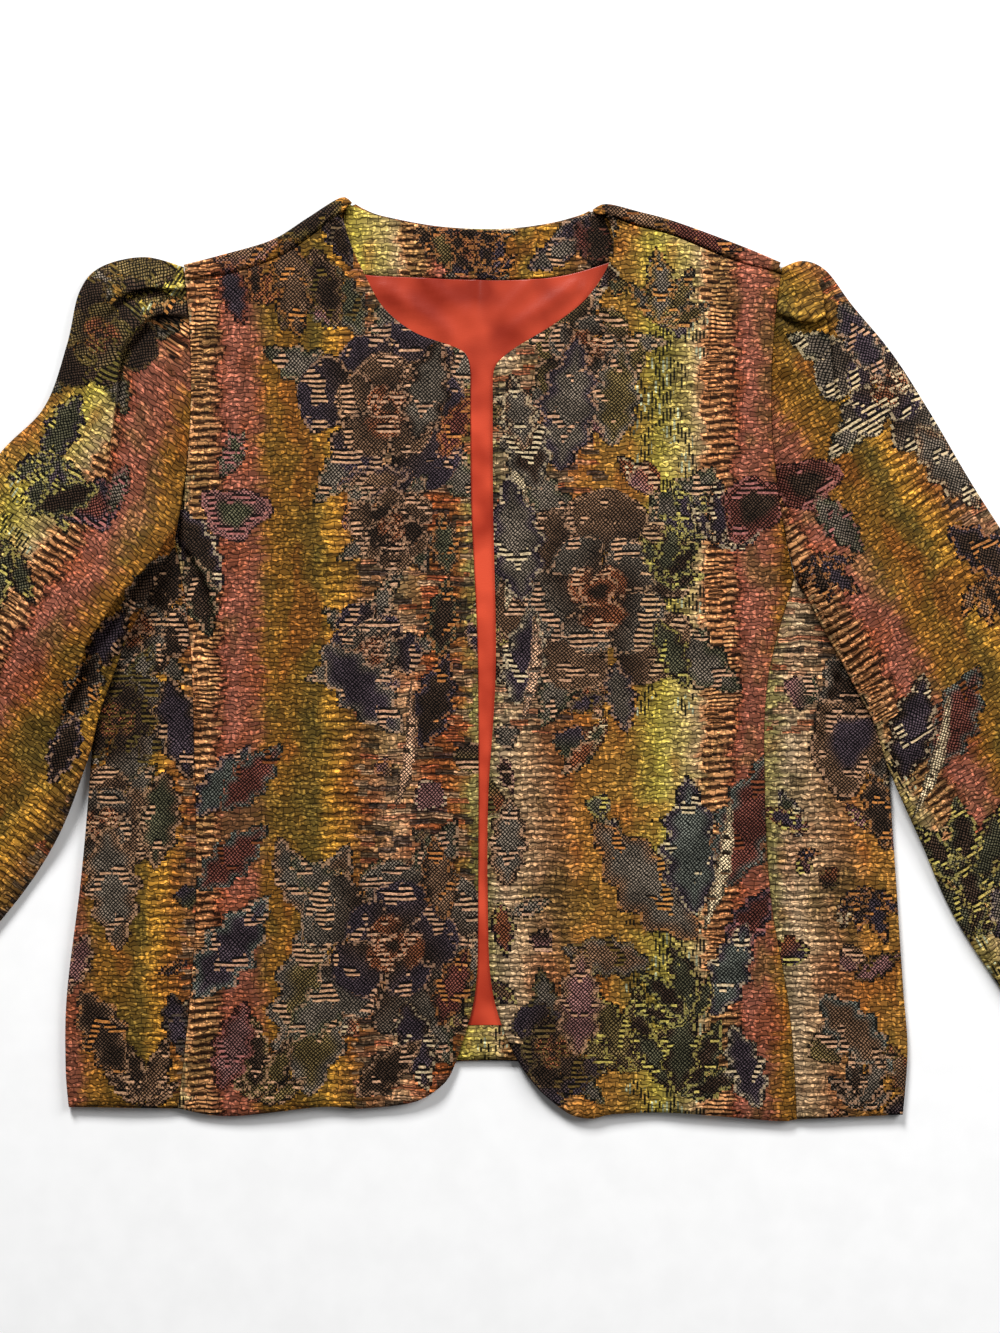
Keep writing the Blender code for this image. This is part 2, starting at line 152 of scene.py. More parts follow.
# Side-front seam from the hem to the armhole: x, y
SIDE_SEAM = {
    "left": [(-199.6, 6), (-192, 77), (-188, 142), (-189, 233), (-192, 311), (-201.5, 376)],
    "right": [(203, -1), (198, 70), (186, 142), (182, 215), (184, 285), (201.5, 352)],
}

# Side fold from the hem to the underarm: x, y
SIDE_EDGE = {
    "left": [(-271, 7), (-273, 34), (-272, 82), (-262.6, 159), (-256, 237), (-249, 340)],
    "right": [(272, 2), (275, 44), (272, 86), (266.5, 169), (262.6, 225), (256, 328)],
}

# Seam between the side panel and the back, under the jacket, from the hem to the armhole: x, y
BACK_SEAM = {
    "left": [(-216, 9), (-214, 150), (-211, 260), (-204, 364)],
    "right": [(216, 4), (214, 150), (211, 250), (204.5, 344)],
}

# Armhole, a chord from shoulder to underarm that bows toward the body: top x, top y, foot x, foot y, bow
ARMHOLE = {
    "left": (-196.5, 553.5, -202.5, 371.0, 8.0),
    "right": (193.5, 553.0, 202.0, 350.0, -11.0),
}

# Shoulder from the neck to the armhole: fold x, fold y, seam x, seam y
SHOULDER = {
    "left": [(-86.5, 595.2, -93.5, 588), (-94, 598.5, -100, 584.5), (-116, 585, -110.5, 575.5),
             (-139, 571, -135, 559.5),
             (-173, 561, -171, 547.5), (-196, 555, -195, 545)],
    "right": [(70, 590.6, 79.5, 587), (79, 594.4, 87, 584.5), (100, 589.5, 99, 580), (124, 583, 122, 574),
              (165, 568, 162, 557.5), (192.5, 556.5, 193, 549)],
}

# Back neck edge between the shoulders: x, y
BACK_NECK = [(-86.5, 596), (-78, 591), (-65, 586.5), (-29, 580), (10, 578.5), (41, 582), (62, 587.5),
             (70, 591.5)]

# Lower edge of the back neck facing: x, y
FACING_FOOT = [(-94, 556), (-80, 549), (-50, 547), (10, 545), (51, 548), (88, 559)]

# Upper ends of the back neck facing, under the fronts: x, y
FACING_TIPS = [(-91, 596.5), (75, 592.6)]

# Back hem between the back seams: x, y
BACK_HEM = [(-216, 9), (-110, 29), (-30, 36), (30, 36), (110, 28), (216, 4)]

# Outer edge of the lining from its foot to its head: x, y
LINING_EDGE = {
    "left": [(-110, 52.2), (-156, 103), (-199, 152), (-202, 210), (-196, 350), (-184, 450), (-182, 520)],
    "right": [(110, 51.2), (156, 102), (199, 151), (202, 208), (196, 340), (179, 450), (178, 520)],
}

# Soft rises of the fronts: x, y, reach across, reach along, height
FRONT_SWELLS = [
    (-104, 590, 34, 34, 3.2),
    (86, 590, 34, 34, 3.2),
    (-95, 400, 60, 110, 1.6),
    (100, 390, 60, 110, 1.6),
    (-125, 60, 34, 90, 1.5),
    (-60, 110, 26, 120, 0.8),
    (75, 90, 28, 110, 1.2),
    (150, 70, 32, 90, 1.5),
]

# Sleeve sections from armhole to cuff: outer x, outer y, inner x, inner y, height
SLEEVE = {
    "left": [
        (-196.5, 553.5, -202.5, 371, FRONT_TOP),
        (-222, 560, -206, 364, 12.5),
        (-250, 553.5, -211, 354, 15.0),
        (-264, 537, -217, 342, 15.0),
        (-272, 503, -224, 328, 14.0),
        (-287, 462, -232, 312, 13.0),
        (-318, 429, -240, 291, 12.0),
        (-352, 371, -250, 263, 11.0),
        (-385, 312, -258, 232, 10.0),
        (-420, 250, -280, 178, 9.0),
        (-460, 182, -320, 122, 8.0),
        (-521, 89, -408, 24, 6.5),
    ],
    "right": [
        (193.5, 553, 202, 350, FRONT_TOP),
        (207, 557.5, 205, 346, 11.5),
        (222, 551, 209, 338, 14.0),
        (239, 528.5, 214, 328, 14.5),
        (265, 497, 222, 313, 14.0),
        (290, 458, 231, 297, 13.0),
        (317, 412, 242, 276, 12.0),
        (350, 360, 252, 257, 11.0),
        (385, 300, 263, 224, 10.0),
        (415, 240, 283, 180, 9.0),
        (448, 175, 311, 121, 8.0),
        (501, 73, 386, 12, 6.5),
    ],
}

# Gathers and folds of the sleeves, each a line: section, share of the way to the inner edge, height, reach
SLEEVE_FOLDS = {
    "left": [
        [(0, 0.27, -0.5, 4), (0.6, 0.29, -1.8, 6), (1.6, 0.35, 0, 9)],
        [(0, 0.33, 0.6, 6), (0.7, 0.36, 2.0, 8), (1.8, 0.42, 0, 12)],
        [(0.4, 0.86, 0, 14), (3, 0.83, 2.5, 15), (6, 0.80, 2.5, 17), (8, 0.76, 0.5, 18)],
    ],
    "right": [
        [(0, 0.24, -0.6, 4), (0.6, 0.26, -2.0, 5), (1.5, 0.30, 0, 8)],
        [(0, 0.30, 0.8, 5), (0.6, 0.33, 2.0, 8), (1.7, 0.38, 0, 10)],
        [(1, 0.92, 0, 14), (4, 0.88, 2.0, 16), (7, 0.86, 1.5, 18), (9, 0.85, 0, 18)],
    ],
}

# How far the sleeve is lifted where it lies over the side panel, and how far before that it starts to rise
OVERLAP_LIFT = FRONT_TOP + 1.6
OVERLAP_RUN = 36.0
OVERLAP_STEPS = 40

# Creases in the cloth, straight ridges or troughs: x, y, height, reach at one end, then at the other
BODY_CREASES = [
    (-200, 376, -2.4, 5, -177, 318, -0.6, 8),
    (-192, 390, 1.6, 9, -160, 322, 0.2, 12),
    (-214, 330, -2.2, 10, -232, 296, -1.2, 14),
    (-236, 318, -1.6, 6, -212, 268, -0.4, 9),
    (198, 356, -1.6, 5, 180, 300, -0.3, 8),
    (-140, 250, 0.8, 14, -150, 40, 0.4, 16),
    (-58, 220, -0.7, 12, -70, 20, -0.8, 14),
    (110, 230, -0.6, 12, 112, 10, -0.9, 13),
    (178, 200, 0.6, 10, 190, 20, 0.7, 12),
    (-232, 150, 0.9, 12, -240, 20, 1.2, 14),
    (236, 160, 0.8, 12, 244, 20, 1.0, 14),
    (-150, 540, -0.9, 8, -120, 470, -0.2, 14),
    (146, 546, -0.8, 8, 122, 470, -0.2, 14),
]
SLEEVE_CREASES = [
    (-216, 396, 2.0, 13, -290, 312, 3.5, 16),
    (-216, 352, 2.0, 5, -246, 300, 2.5, 7),
    (-310, 380, -1.0, 10, -350, 300, -0.4, 12),
    (-300, 262, 1.2, 12, -360, 160, 0.6, 14),
    (-250, 520, -1.2, 8, -236, 440, -0.5, 12),
    (-228, 470, 1.0, 8, -240, 410, 0.2, 12),
    (226, 360, -1.8, 7, 262, 300, -0.4, 12),
    (232, 420, -0.9, 9, 285, 330, -0.3, 14),
    (300, 300, 1.0, 12, 360, 170, 0.6, 14),
    (262, 470, 0.9, 9, 310, 380, 0.3, 14),
    (320, 240, -1.0, 10, 350, 150, -0.5, 12),
]

# Tucks, where the cloth on the right of a line rolls over the cloth on its left: x, y, height of the roll,
# its reach, dip beside it, and width of cloth that the tuck hides
TUCKS = {
    "front_left": [
        [(-177, 285, 0, 9, 0, 0), (-175, 310, 2.2, 9, 1.6, 0), (-178, 335, 3.2, 9, 2.6, 0),
         (-187, 358, 3.2, 8, 2.8, 0),
         (-199, 374, 2.4, 7, 2.4, 0)],
        [(-98, 584, 1.8, 12, 1.0, 0), (-92, 550, 2.0, 12, 1.0, 0), (-84, 505, 0, 14, 0, 0)],
        [(-200, 318, 1.5, 8, 2.0, 0), (-207, 262, 2.6, 9, 2.5, 0), (-216, 214, 1.6, 9, 1.5, 0),
         (-222, 170, 0, 9, 0, 0)],
        [(-238, 322, 2.0, 9, 2.0, 0), (-232, 280, 2.4, 10, 2.0, 0), (-238, 230, 0, 10, 0, 0)],
    ],
    "front_right": [
        [(86, 583, 2.2, 12, 1.0, 0), (80, 540, 2.6, 13, 1.4, 0), (72, 490, 2.0, 14, 1.2, 0),
         (62, 440, 0, 14, 0, 0)],
        [(233, 300, 2.0, 8, 2.0, 0), (222, 270, 3.4, 8, 2.6, 0), (214, 236, 2.6, 9, 2.2, 0),
         (217, 200, 0, 9, 0, 0)],
    ],
    "sleeve_left": [
        [(-193, 537, 3.5, 12, 2.5, 0), (-210, 541, 5.0, 13, 3.5, 0), (-222, 540.5, 5.5, 13, 4.0, 0),
         (-233, 537, 5.0, 13, 3.5, 0), (-241, 529, 3.0, 12, 2.0, 0), (-246, 516, 0, 12, 0, 0)],
        [(-193, 521, 3.0, 9, 2.0, 20), (-210, 523.4, 5.0, 10, 3.5, 34), (-220.5, 519.7, 5.5, 11, 4.0, 40),
         (-228, 511.5, 5.5, 12, 4.0, 42), (-235.4, 501.8, 5.0, 12, 3.5, 42),
         (-238.4, 490, 4.5, 12, 3.0, 40),
         (-240, 467, 3.5, 12, 2.0, 28), (-243, 436, 1.0, 12, 1.0, 15), (-252, 396, 0, 12, 0, 0)],
        [(-199, 386, 2.5, 16, 2.0, 0), (-218, 362, 5.5, 20, 4.5, 0), (-236.6, 342.6, 6.5, 20, 6.0, 0),
         (-251.6, 322.4, 6.5, 20, 6.0, 0), (-260, 309, 6.0, 20, 5.0, 0), (-266, 285, 4.0, 20, 4.0, 0),
         (-282, 244, 0, 20, 0, 0)],
    ],
    "sleeve_right": [
        [(209, 553, 3.5, 10, 2.5, 0), (215.5, 536, 5.5, 11, 3.5, 0), (217, 524.6, 5.5, 11, 3.5, 0),
         (219.7, 513, 5.0, 11, 3.5, 0), (223, 488, 4.0, 11, 2.5, 0), (227, 463, 2.5, 11, 1.5, 0),
         (236, 428, 0, 11, 0, 0)],
        [(217, 518, 2.5, 9, 1.5, 0), (208.7, 517.5, 4.5, 10, 3.0, 0), (199, 521, 4.5, 10, 3.0, 0),
         (190, 523, 3.5, 9, 2.0, 0)],
        [(210, 372, 0, 12, 0, 0), (224, 352, 2.5, 13, 1.5, 0), (240, 322, 2.5, 14, 1.5, 0),
         (258, 286, 0, 14, 0, 0)],
    ],
}
TUCK_EDGE = 2.6
TUCK_LEAN = 0.75
TUCK_POINTS = 16

# Creases of the lining, in rows like those of the body
LINING_CREASES = [
    (-6, 545, 1.7, 2.4, -7, 512, 0.3, 6),
    (-66, 540, 1.9, 4, -26, 512, 1.5, 6),
    (-40, 546, 1.4, 3, -12, 522, 0.9, 5),
    (60, 542, 1.9, 4, 20, 514, 1.4, 6),
    (32, 546, 1.4, 3, 12, 524, 0.9, 5),
    (-12, 470, 0.6, 4, 4, 410, 0.4, 5),
    (-10, 380, -0.5, 4, 4, 330, 0.5, 5),
    (0, 330, 0.6, 3.5, -6, 250, 0.4, 4),
    (4, 240, 0.5, 3, -3, 170, 0.5, 4),
    (-6, 160, 0.5, 3.5, 6, 80, 0.6, 5),
]


def spline(rows, at):
    """Rows of a table at fractional row numbers, on a smooth curve through the rows."""
    rows = np.asarray(rows, float)
    last = len(rows) - 1
    at = np.clip(np.asarray(at, float), 0, last)
    i = np.minimum(at.astype(int), last - 1)
    t = (at - i)[:, None]
    before, here = rows[np.maximum(i - 1, 0)], rows[i]
    after, beyond = rows[i + 1], rows[np.minimum(i + 2, last)]
    slope_in, slope_out = (after - before) / 2, (beyond - here) / 2
    change = after - here
    return here + t * (slope_in + t * (3 * change - 2 * slope_in - slope_out
                                       + t * (slope_in + slope_out - 2 * change)))


def along(rows, shares):
    """Rows at shares of the length of the smooth curve through a table's rows."""
    fine = spline(rows, np.linspace(0, len(rows) - 1, CURVE_POINTS * len(rows)))
    length = np.r_[0, np.cumsum(np.hypot(*np.diff(fine[:, :2], axis=0).T))]
    return np.column_stack([np.interp(length[-1] * shares, length, column) for column in fine.T])


def even(cells):
    """Shares from 0 to 1 in equal steps."""
    return np.linspace(0, 1, cells + 1)


def eased(cells, ease=0.55):
    """Shares from 0 to 1 in steps that are shorter near both ends."""
    step = even(cells)
    return step - ease * np.sin(2 * pi * step) / (2 * pi)


def patch(foot, head, start, end, across, up):
    """Grid of points filling the space between four edges; start and end run from foot to head."""
    u, v = across[None, :, None], up[:, None, None]
    sides = (1 - v) * foot[None] + v * head[None] + (1 - u) * start[:, None] + u * end[:, None]
    corners = (1 - u) * (1 - v) * foot[0] + u * (1 - v) * foot[-1] + (1 - u) * v * head[0] + u * v * head[-1]
    return sides - corners


def band(foot, head, rows):
    """Grid between a foot line and a head line, with straight ends."""
    start, end = (np.linspace(foot[at], head[at], rows + 1) for at in (0, -1))
    return patch(foot, head, start, end, even(len(foot) - 1), even(rows))


def outward(side):
    """Direction along X that leads away from the centre front."""
    return -1 if side == "left" else 1


def outer_face(side, points):
    """Grid of a left or right panel with its outer face up."""
    return points if side == "right" else points[:, ::-1]


def armhole(side, share):
    """Points of the armhole at shares of the way from the shoulder to the underarm."""
    top_x, top_y, foot_x, foot_y, bow = ARMHOLE[side]
    x = top_x + share * (foot_x - top_x) + 4 * bow * share * (1 - share)
    y = top_y + share * (foot_y - top_y)
    return np.column_stack([x, y])


def armhole_share(side, y):
    """Share of the way down the armhole at a height on it."""
    _, top_y, _, foot_y, _ = ARMHOLE[side]
    return (y - top_y) / (foot_y - top_y)


def smooth(share):
    """Share from 0 to 1 with soft ends."""
    return share * share * (3 - 2 * share)


def bell(away, reach):
    """One on a line, fading over a reach from it."""
    return np.exp(-(away / reach) ** 2)


def front_lift(x, y):
    """Height of the fronts' soft rises."""
    lift = np.zeros(np.broadcast(x, y).shape)
    for centre_x, centre_y, across, length, height in FRONT_SWELLS:
        lift += height * np.exp(-((x - centre_x) / across) ** 2 - ((y - centre_y) / length) ** 2)
    return lift


def crease_lift(rows, x, y):
    """Height that a table of creases adds."""
    lift = np.zeros(np.broadcast(x, y).shape)
    for x0, y0, height0, reach0, x1, y1, height1, reach1 in rows:
        run_x, run_y = x1 - x0, y1 - y0
        share = np.clip(((x - x0) * run_x + (y - y0) * run_y) / (run_x ** 2 + run_y ** 2), 0, 1)
        away = np.hypot(x - x0 - share * run_x, y - y0 - share * run_y)
        reach = reach0 + share * (reach1 - reach0)
        lift += (height0 + share * (height1 - height0)) * bell(away, reach)
    return lift


def tucks(panel, x, y):
    """Height of a panel's tucks, width of cloth that they hide, and how far the rolls lean over the dips."""
    lift, hidden, lean = np.zeros(x.shape), np.zeros(x.shape), np.zeros((*x.shape, 2))
    for rows in TUCKS.get(panel, []):
        line = spline(rows, np.linspace(0, len(rows) - 1, TUCK_POINTS * len(rows)))
        way = np.gradient(line[:, :2], axis=0)
        way /= np.linalg.norm(way, axis=1)[:, None]
        near = np.argmin((x[..., None] - line[:, 0]) ** 2 + (y[..., None] - line[:, 1]) ** 2, axis=-1)
        off_x, off_y = x - line[near, 0], y - line[near, 1]
        height, reach, dip, width = np.moveaxis(line[near, 2:], -1, 0)
        over = smooth(np.clip((off_x * way[near, 1] - off_y * way[near, 0]) / TUCK_EDGE + 0.5, 0, 1))
        away = np.hypot(off_x, off_y) / reach
        lift += over * height * bell(away, 1) - (1 - over) * dip * bell(away, 0.5)
        hidden += (1 - over) * width
        lean += (TUCK_LEAN * over * height * bell(away, 0.5))[..., None] * way[near, ::-1] * (-1, 1)
    return lift, hidden, lean


def ripple(x, y):
    """Slight unevenness of cloth that lies loose."""
    broad = np.sin(x / 21 + 1.3 * np.sin(y / 47)) * np.sin(y / 33 + 0.8 * np.sin(x / 38))
    small = np.sin(x / 7.3 + 2.0 * np.sin(y / 19)) * np.sin(y / 9.1 + 1.7 * np.sin(x / 23))
    return BROAD_RIPPLE * broad + SMALL_RIPPLE * small


def distances(points):
    """Distances along a grid from its first and last column and its first and last row."""
    across = np.linalg.norm(np.diff(points, axis=1), axis=2)
    up = np.linalg.norm(np.diff(points, axis=0), axis=2)
    from_start = np.pad(np.cumsum(across, axis=1), ((0, 0), (1, 0)))
    from_foot = np.pad(np.cumsum(up, axis=0), ((1, 0), (0, 0)))
    return from_start, from_start[:, -1:] - from_start, from_foot, from_foot[-1:] - from_foot


def seam_dip(away, place):
    """Groove that a sewn seam pulls, with slight puckers along it."""
    pucker = 1 + 0.35 * np.sin(place / 3.1 + 2 * np.sin(place / 17)) + 0.25 * np.sin(place / 7.7)
    (groove, groove_reach), (hollow, hollow_reach) = SEAM_GROOVE, SEAM_HOLLOW
    return -groove * bell(away, groove_reach) - hollow * pucker * bell(away, hollow_reach)


def edge_roll(away):
    """Turned edge: full a little way in and rounded off at the rim."""
    (full, place, reach), (rim, rim_reach) = EDGE_FULL, EDGE_RIM
    return full * bell(away - place, reach) - rim * bell(away, rim_reach)


def with_height(plane, height):
    """Grid of plane points with a height for each."""
    return np.dstack([plane, np.broadcast_to(height, plane.shape[:2])])


# Cloth directions of the panels: turn of the stripes in degrees, and their shift across in millimetres
PANELS = {
    "front_left": (0, 0),
    "front_right": (0, 0),
    "back": (0, 0),
    "back_hem_turn_up": (0, 128),
    "back_neck_facing": (0, 197),
    "side_panel_left": (0, 113.75),
    "side_panel_right": (0, -186.75),
    "sleeve_left": (-34.8, 591),
    "sleeve_right": (30, -207),
}

# Width of one repeat of the stripes, and where it starts
REPEAT = 335.0
REPEAT_START = -191.75


def srgb(red, green, blue):
    """Linear colour from display values of 0 to 255."""
    values = np.array([red, green, blue], float) / 255
    return np.where(values <= 0.04045, values / 12.92, ((values + 0.055) / 1.055) ** 2.4)


# Yarn colours of the motifs
TONES = {
    "navy": srgb(42, 43, 66),
    "teal": srgb(70, 88, 84),
    "slate": srgb(90, 87, 78),
    "green": srgb(56, 70, 50),
    "olive": srgb(96, 84, 42),
    "brown": srgb(108, 80, 58),
    "burgundy": srgb(100, 40, 38),
    "rust": srgb(134, 70, 38),
    "mauve": srgb(118, 78, 80),
    "pink": srgb(170, 108, 104),
    "dark": srgb(22, 17, 15),
    "tan": srgb(196, 152, 120),
    "cream": srgb(204, 184, 146),
    "orange": srgb(196, 126, 66),
    "lime": srgb(186, 172, 88),
}

# Motifs, one to a row: kind, x, y, size, turn in degrees, two tones, colour of the hatched lines
MOTIF_COLUMNS = 8
MOTIFS = {
    # The dark leaves by the left armpit, near x -190 to -200 and y 366 to 396, are partly woven motif and
    # partly painted shade of the hollow under the sleeve
    "front_left": """
rose -62 462 52 20 navy brown tan
leaf -46 440 70 76 slate dark tan
leaf -80 508 52 112 green slate olive
leaf -132 512 44 70 dark brown olive
leaf -128 572 66 -84 brown dark orange
leaf -112 566 56 -72 dark brown olive
leaf -103 591 42 -66 dark navy slate
leaf -28 430 44 66 burgundy rust orange
tuft -150 530 34 80 dark rust orange
leaf -168 556 44 -76 navy burgundy rust
leaf -200 396 62 -62 dark navy cream
leaf -192 366 56 -76 dark green tan
berry -163 393 17 20 green mauve pink
leaf -172 416 36 62 slate green pink
leaf -158 424 26 110 green slate pink
leaf -96 410 50 10 brown navy tan
rose -60 384 26 60 brown dark tan
rose -74 304 28 70 navy slate tan
leaf -106 308 80 -48 navy slate tan
leaf -30 300 52 84 dark green orange
leaf -42 240 66 74 dark navy orange
leaf -24 352 44 96 green brown orange
stem -58 200 84 84 cream tan dark
leaf -188 196 60 52 teal navy tan
leaf -172 200 60 47 burgundy teal rust
leaf -187 148 64 43 burgundy teal rust
leaf -189 78 84 54 navy teal tan
leaf -116 132 56 110 slate brown tan
leaf -108 130 54 68 brown slate tan
leaf -114 14 118 90 olive slate tan
rose -60 112 56 0 slate navy tan
leaf -26 128 56 98 brown dark orange
leaf -30 60 56 70 burgundy dark orange
leaf -52 76 62 -76 navy dark cream
tuft -152 12 60 74 dark olive tan
leaf -172 18 62 74 mauve burgundy pink
leaf -84 14 56 40 dark brown tan
    """,
    "front_right": """
rose 74 342 64 40 brown slate tan
leaf 84 296 48 -80 slate navy tan
leaf 112 324 50 -66 green dark lime
tuft 112 350 46 60 green dark lime
rose 66 500 34 10 olive slate tan
leaf 48 420 90 82 slate navy tan
leaf 82 436 70 84 olive slate tan
leaf 128 506 58 112 slate navy lime
tuft 112 516 52 76 slate olive orange
tuft 134 376 40 92 navy green lime
tuft 150 372 46 74 navy dark cream
berry 176 398 19 40 dark burgundy pink
stem 14 330 130 88 cream cream slate
leaf 24 336 84 96 slate navy cream
leaf 20 268 66 80 navy slate cream
leaf 34 408 74 104 dark slate cream
stem 24 258 74 84 cream tan slate
leaf 14 150 60 88 slate brown tan
leaf 138 116 104 132 slate brown orange
leaf 108 100 60 170 brown slate olive
leaf 136 132 92 93 teal navy cream
leaf 157 150 92 73 burgundy teal rust
leaf 156 106 56 54 burgundy navy pink
stem 142 122 90 79 cream cream dark
leaf 148 66 66 70 teal navy cream
rose 44 42 32 30 navy dark olive
tuft 92 30 64 100 olive dark lime
tuft 124 16 72 76 green dark lime
tuft 132 62 56 120 dark green lime
leaf 178 6 60 108 navy slate cream
leaf 26 434 52 100 slate brown cream
leaf 60 40 70 88 mauve brown tan
    """,
    # Its two dark leaves at the top, by the armpit, are partly woven motif and partly painted shade of the
    # hollow under the sleeve
    "side_panel_left": """
leaf -203 372 62 -104 dark dark tan
leaf -222 352 56 -96 dark navy tan
rose -228 316 32 30 dark slate tan
rose -240 258 34 0 slate dark olive
leaf -206 286 70 -78 navy dark tan
rose -250 190 34 50 brown slate tan
leaf -246 190 84 -84 slate brown tan
leaf -208 226 66 -96 green brown tan
leaf -262 84 72 -64 dark brown orange
leaf -204 82 44 -80 navy dark slate
tuft -226 8 50 84 dark brown tan
leaf -258 120 44 -110 mauve brown tan
    """,
    "side_panel_right": """
leaf 224 300 90 -66 dark slate tan
berry 238 246 26 70 navy brown tan
leaf 252 224 52 -80 dark brown orange
leaf 218 80 72 -47 brown teal tan
tuft 252 150 40 -90 navy dark orange
tuft 240 6 44 80 dark slate tan
    """,
    # The dark leaves on the head's lobe, near x -199 to -206 and y 533 to 549, are partly woven motif and
    # partly painted shade that darkens the lobe
    "sleeve_left": """
rose -250 508 34 10 dark olive olive
leaf -224 520 48 10 dark olive orange
leaf -199 549 54 177 olive dark olive
leaf -206 533 40 160 dark olive olive
leaf -262 470 56 -118 green navy lime
tuft -276 430 52 -100 navy green lime
berry -254 398 15 20 burgundy navy pink
leaf -232 424 34 -110 slate green pink
leaf -250 410 50 -160 dark green lime
tuft -306 372 54 -120 green dark lime
leaf -204 366 52 -128 dark slate tan
leaf -232 330 52 -122 navy dark tan
leaf -250 302 56 -116 dark slate orange
leaf -264 262 50 -112 dark navy tan
rose -392 190 38 80 slate navy tan
leaf -330 150 60 -124 burgundy teal rust
leaf -430 120 66 -110 green slate lime
    """,
    "sleeve_right": """
rose 262 478 42 20 slate navy cream
leaf 230 530 60 -60 navy slate tan
leaf 280 450 70 -52 slate brown cream
leaf 300 384 64 -34 dark navy orange
tuft 322 350 40 -60 dark brown orange
berry 208 412 17 30 dark burgundy pink
leaf 214 404 50 -50 slate green pink
tuft 214 366 40 -56 navy dark orange
leaf 290 226 76 66 burgundy teal rust
leaf 270 220 72 78 navy dark cream
stem 278 196 84 74 cream cream dark
tuft 310 150 74 80 dark green lime
tuft 318 116 64 118 green dark lime
leaf 330 150 60 -60 slate navy cream
rose 392 190 36 60 brown slate tan
leaf 430 160 66 -58 green dark lime
    """,
    # The all-dark leaf at its right end is partly woven motif and partly a painted shadow of the hollow
    # behind the right front's neck edge
    "back_neck_facing": """
rose -8 566 22 20 navy dark orange
tuft 4 548 32 96 dark navy orange
leaf -46 578 36 -40 dark brown orange
leaf 28 552 44 30 slate navy tan
leaf -22 550 34 110 olive dark orange
leaf 44 572 40 24 navy slate tan
leaf 60 584 34 -70 burgundy dark mauve
leaf 78 594 46 -98 dark dark burgundy
    """,
}
MOTIFS["back"] = MOTIFS["front_left"] + MOTIFS["front_right"] + """
leaf 76 592 54 -17 brown dark rust
leaf 116 583 56 -20 burgundy dark orange
leaf -92 594 52 205 dark olive olive
leaf -134 570 46 197 brown mauve orange
"""

# Small leaves strewn between the motifs of each panel: how many, and the box that they lie in
STREWN = {
    "front_left": (110, -200, 0, 0, 590),
    "front_right": (110, 0, 0, 205, 590),
    "back": (200, -216, 0, 216, 590),
    "side_panel_left": (34, -275, 0, -190, 370),
    "side_panel_right": (20, 185, 0, 275, 350),
    "sleeve_left": (70, -525, 20, -195, 560),
    "sleeve_right": (60, 193, 10, 505, 560),
}
PLAIN_STRIPES = [(0, 106), (286, 335)]
STREWN_TONES = ["slate", "navy", "brown", "dark", "olive", "green", "rust", "mauve"]
STREWN_LINES = ["tan", "orange", "olive", "cream", "lime", "tan"]

# Strewn leaves: sizes in millimetres, share of leaves, and size of the petals among them
STREWN_SIZES = (14, 38)
STREWN_LEAVES = 0.6
STREWN_PETAL = 0.7

# Fields of the motifs: value far from any, reach beyond their size, step for slopes, and steepest slopes
FAR_OUTSIDE = -60.0
MOTIF_REACH = 1.3
MOTIF_MARGIN = 12
FIELD_STEP = 0.6
MOTIF_SLOPE = 1.6
LINE_SLOPE = 0.4

# Breadths of leaves as shares of their length
LEAF_BREADTH = 0.21
STEM_BREADTH = 0.05
BLADE_BREADTH = 0.18

# Bend of a stem in millimetres, and of a blade as a share of its length
STEM_BEND = 5
BLADE_BEND = 0.06

# Directions of a tuft's blades from its own, in degrees, and how much shorter the spread ones are
TUFT_LEANS = (-54, 50, -17, 15)
TUFT_SHORTER = 0.006

# Rings of a rose from foliage to heart: kind, how many, start and size as shares of the radius, which tones
ROSE_RINGS = [
    ("leaf", 5, 0.50, 1.15, ("slate", "green")),
    ("petal", 6, 0.22, 0.86, (0, "dark")),
    ("petal", 5, 0.04, 0.66, (1, "dark")),
    ("petal", 3, -0.06, 0.42, ("rust", "dark")),
]
ROSE_HEART = 0.16
ROSE_RING_TURN = 37
ROSE_UNEVEN = 9


def within_half(x, y, size, half):
    """How far inside an outline of a half width that runs from a foot to a tip at a size."""
    beyond = np.maximum(-x, x - size)
    return np.where((x > 0) & (x < size), half - np.abs(y), -beyond - np.abs(y))


def leaf(x, y, size, breadth=LEAF_BREADTH):
    """Pointed leaf from foot to tip: how far inside, run of its veins, and share of the second tone."""
    place = np.clip(x / size, 0, 1)
    half = breadth * size * np.sin(pi * place ** 0.85) ** 0.9 * (1 + 0.17 * np.sin(30 * place))
    inside = within_half(x, y, size, half)
    veins = 2.3 * x / size - 0.6 * np.abs(y) / (breadth * size) + 0.45
    share = 1.5 - inside / (0.06 * size) + 0.3 * (y > 0)
    return inside, veins, np.clip(share, 0, 1)


def petal(x, y, size):
    """Rounded petal from foot to rim: how far inside, the run of its hatched bands, and the second tone."""
    place = np.clip(x / size, 0, 1)
    half = 0.5 * size * np.sin(pi * place ** 1.5) ** 0.6 * (1 + 0.06 * np.sin(11 * place))
    bands = 0.9 * x / size + 0.4 * y / size + 0.43
    share = np.clip(1.5 - 1.9 * place - 0.9 * y / size, 0, 1)
    return within_half(x, y, size, half), bands, share


def stem(x, y, size):
    """Long thin stalk that bends, dotted along its length."""
    inside, _, share = leaf(x, y + STEM_BEND * np.sin(pi * x / size), size, STEM_BREADTH)
    return inside, 9 * x / size, share


def blade(x, y, size):
    """Narrow leaf of a tuft."""
    return leaf(x, y + BLADE_BEND * size * np.sin(pi * x / size), size, BLADE_BREADTH)


def berry(x, y, size):
    """Uneven berry with a ring: how far inside, the run of its rings, and the share of the second tone."""
    angle = np.arctan2(y, x)
    uneven = 1 + 0.14 * np.sin(3 * angle + size) + 0.09 * np.sin(5 * angle)
    away = np.hypot(0.78 * x, y + 0.12 * x) * uneven
    return size - away, away / size * 1.05 + 0.42, np.clip((away / size - 0.4) * 5, 0, 1)


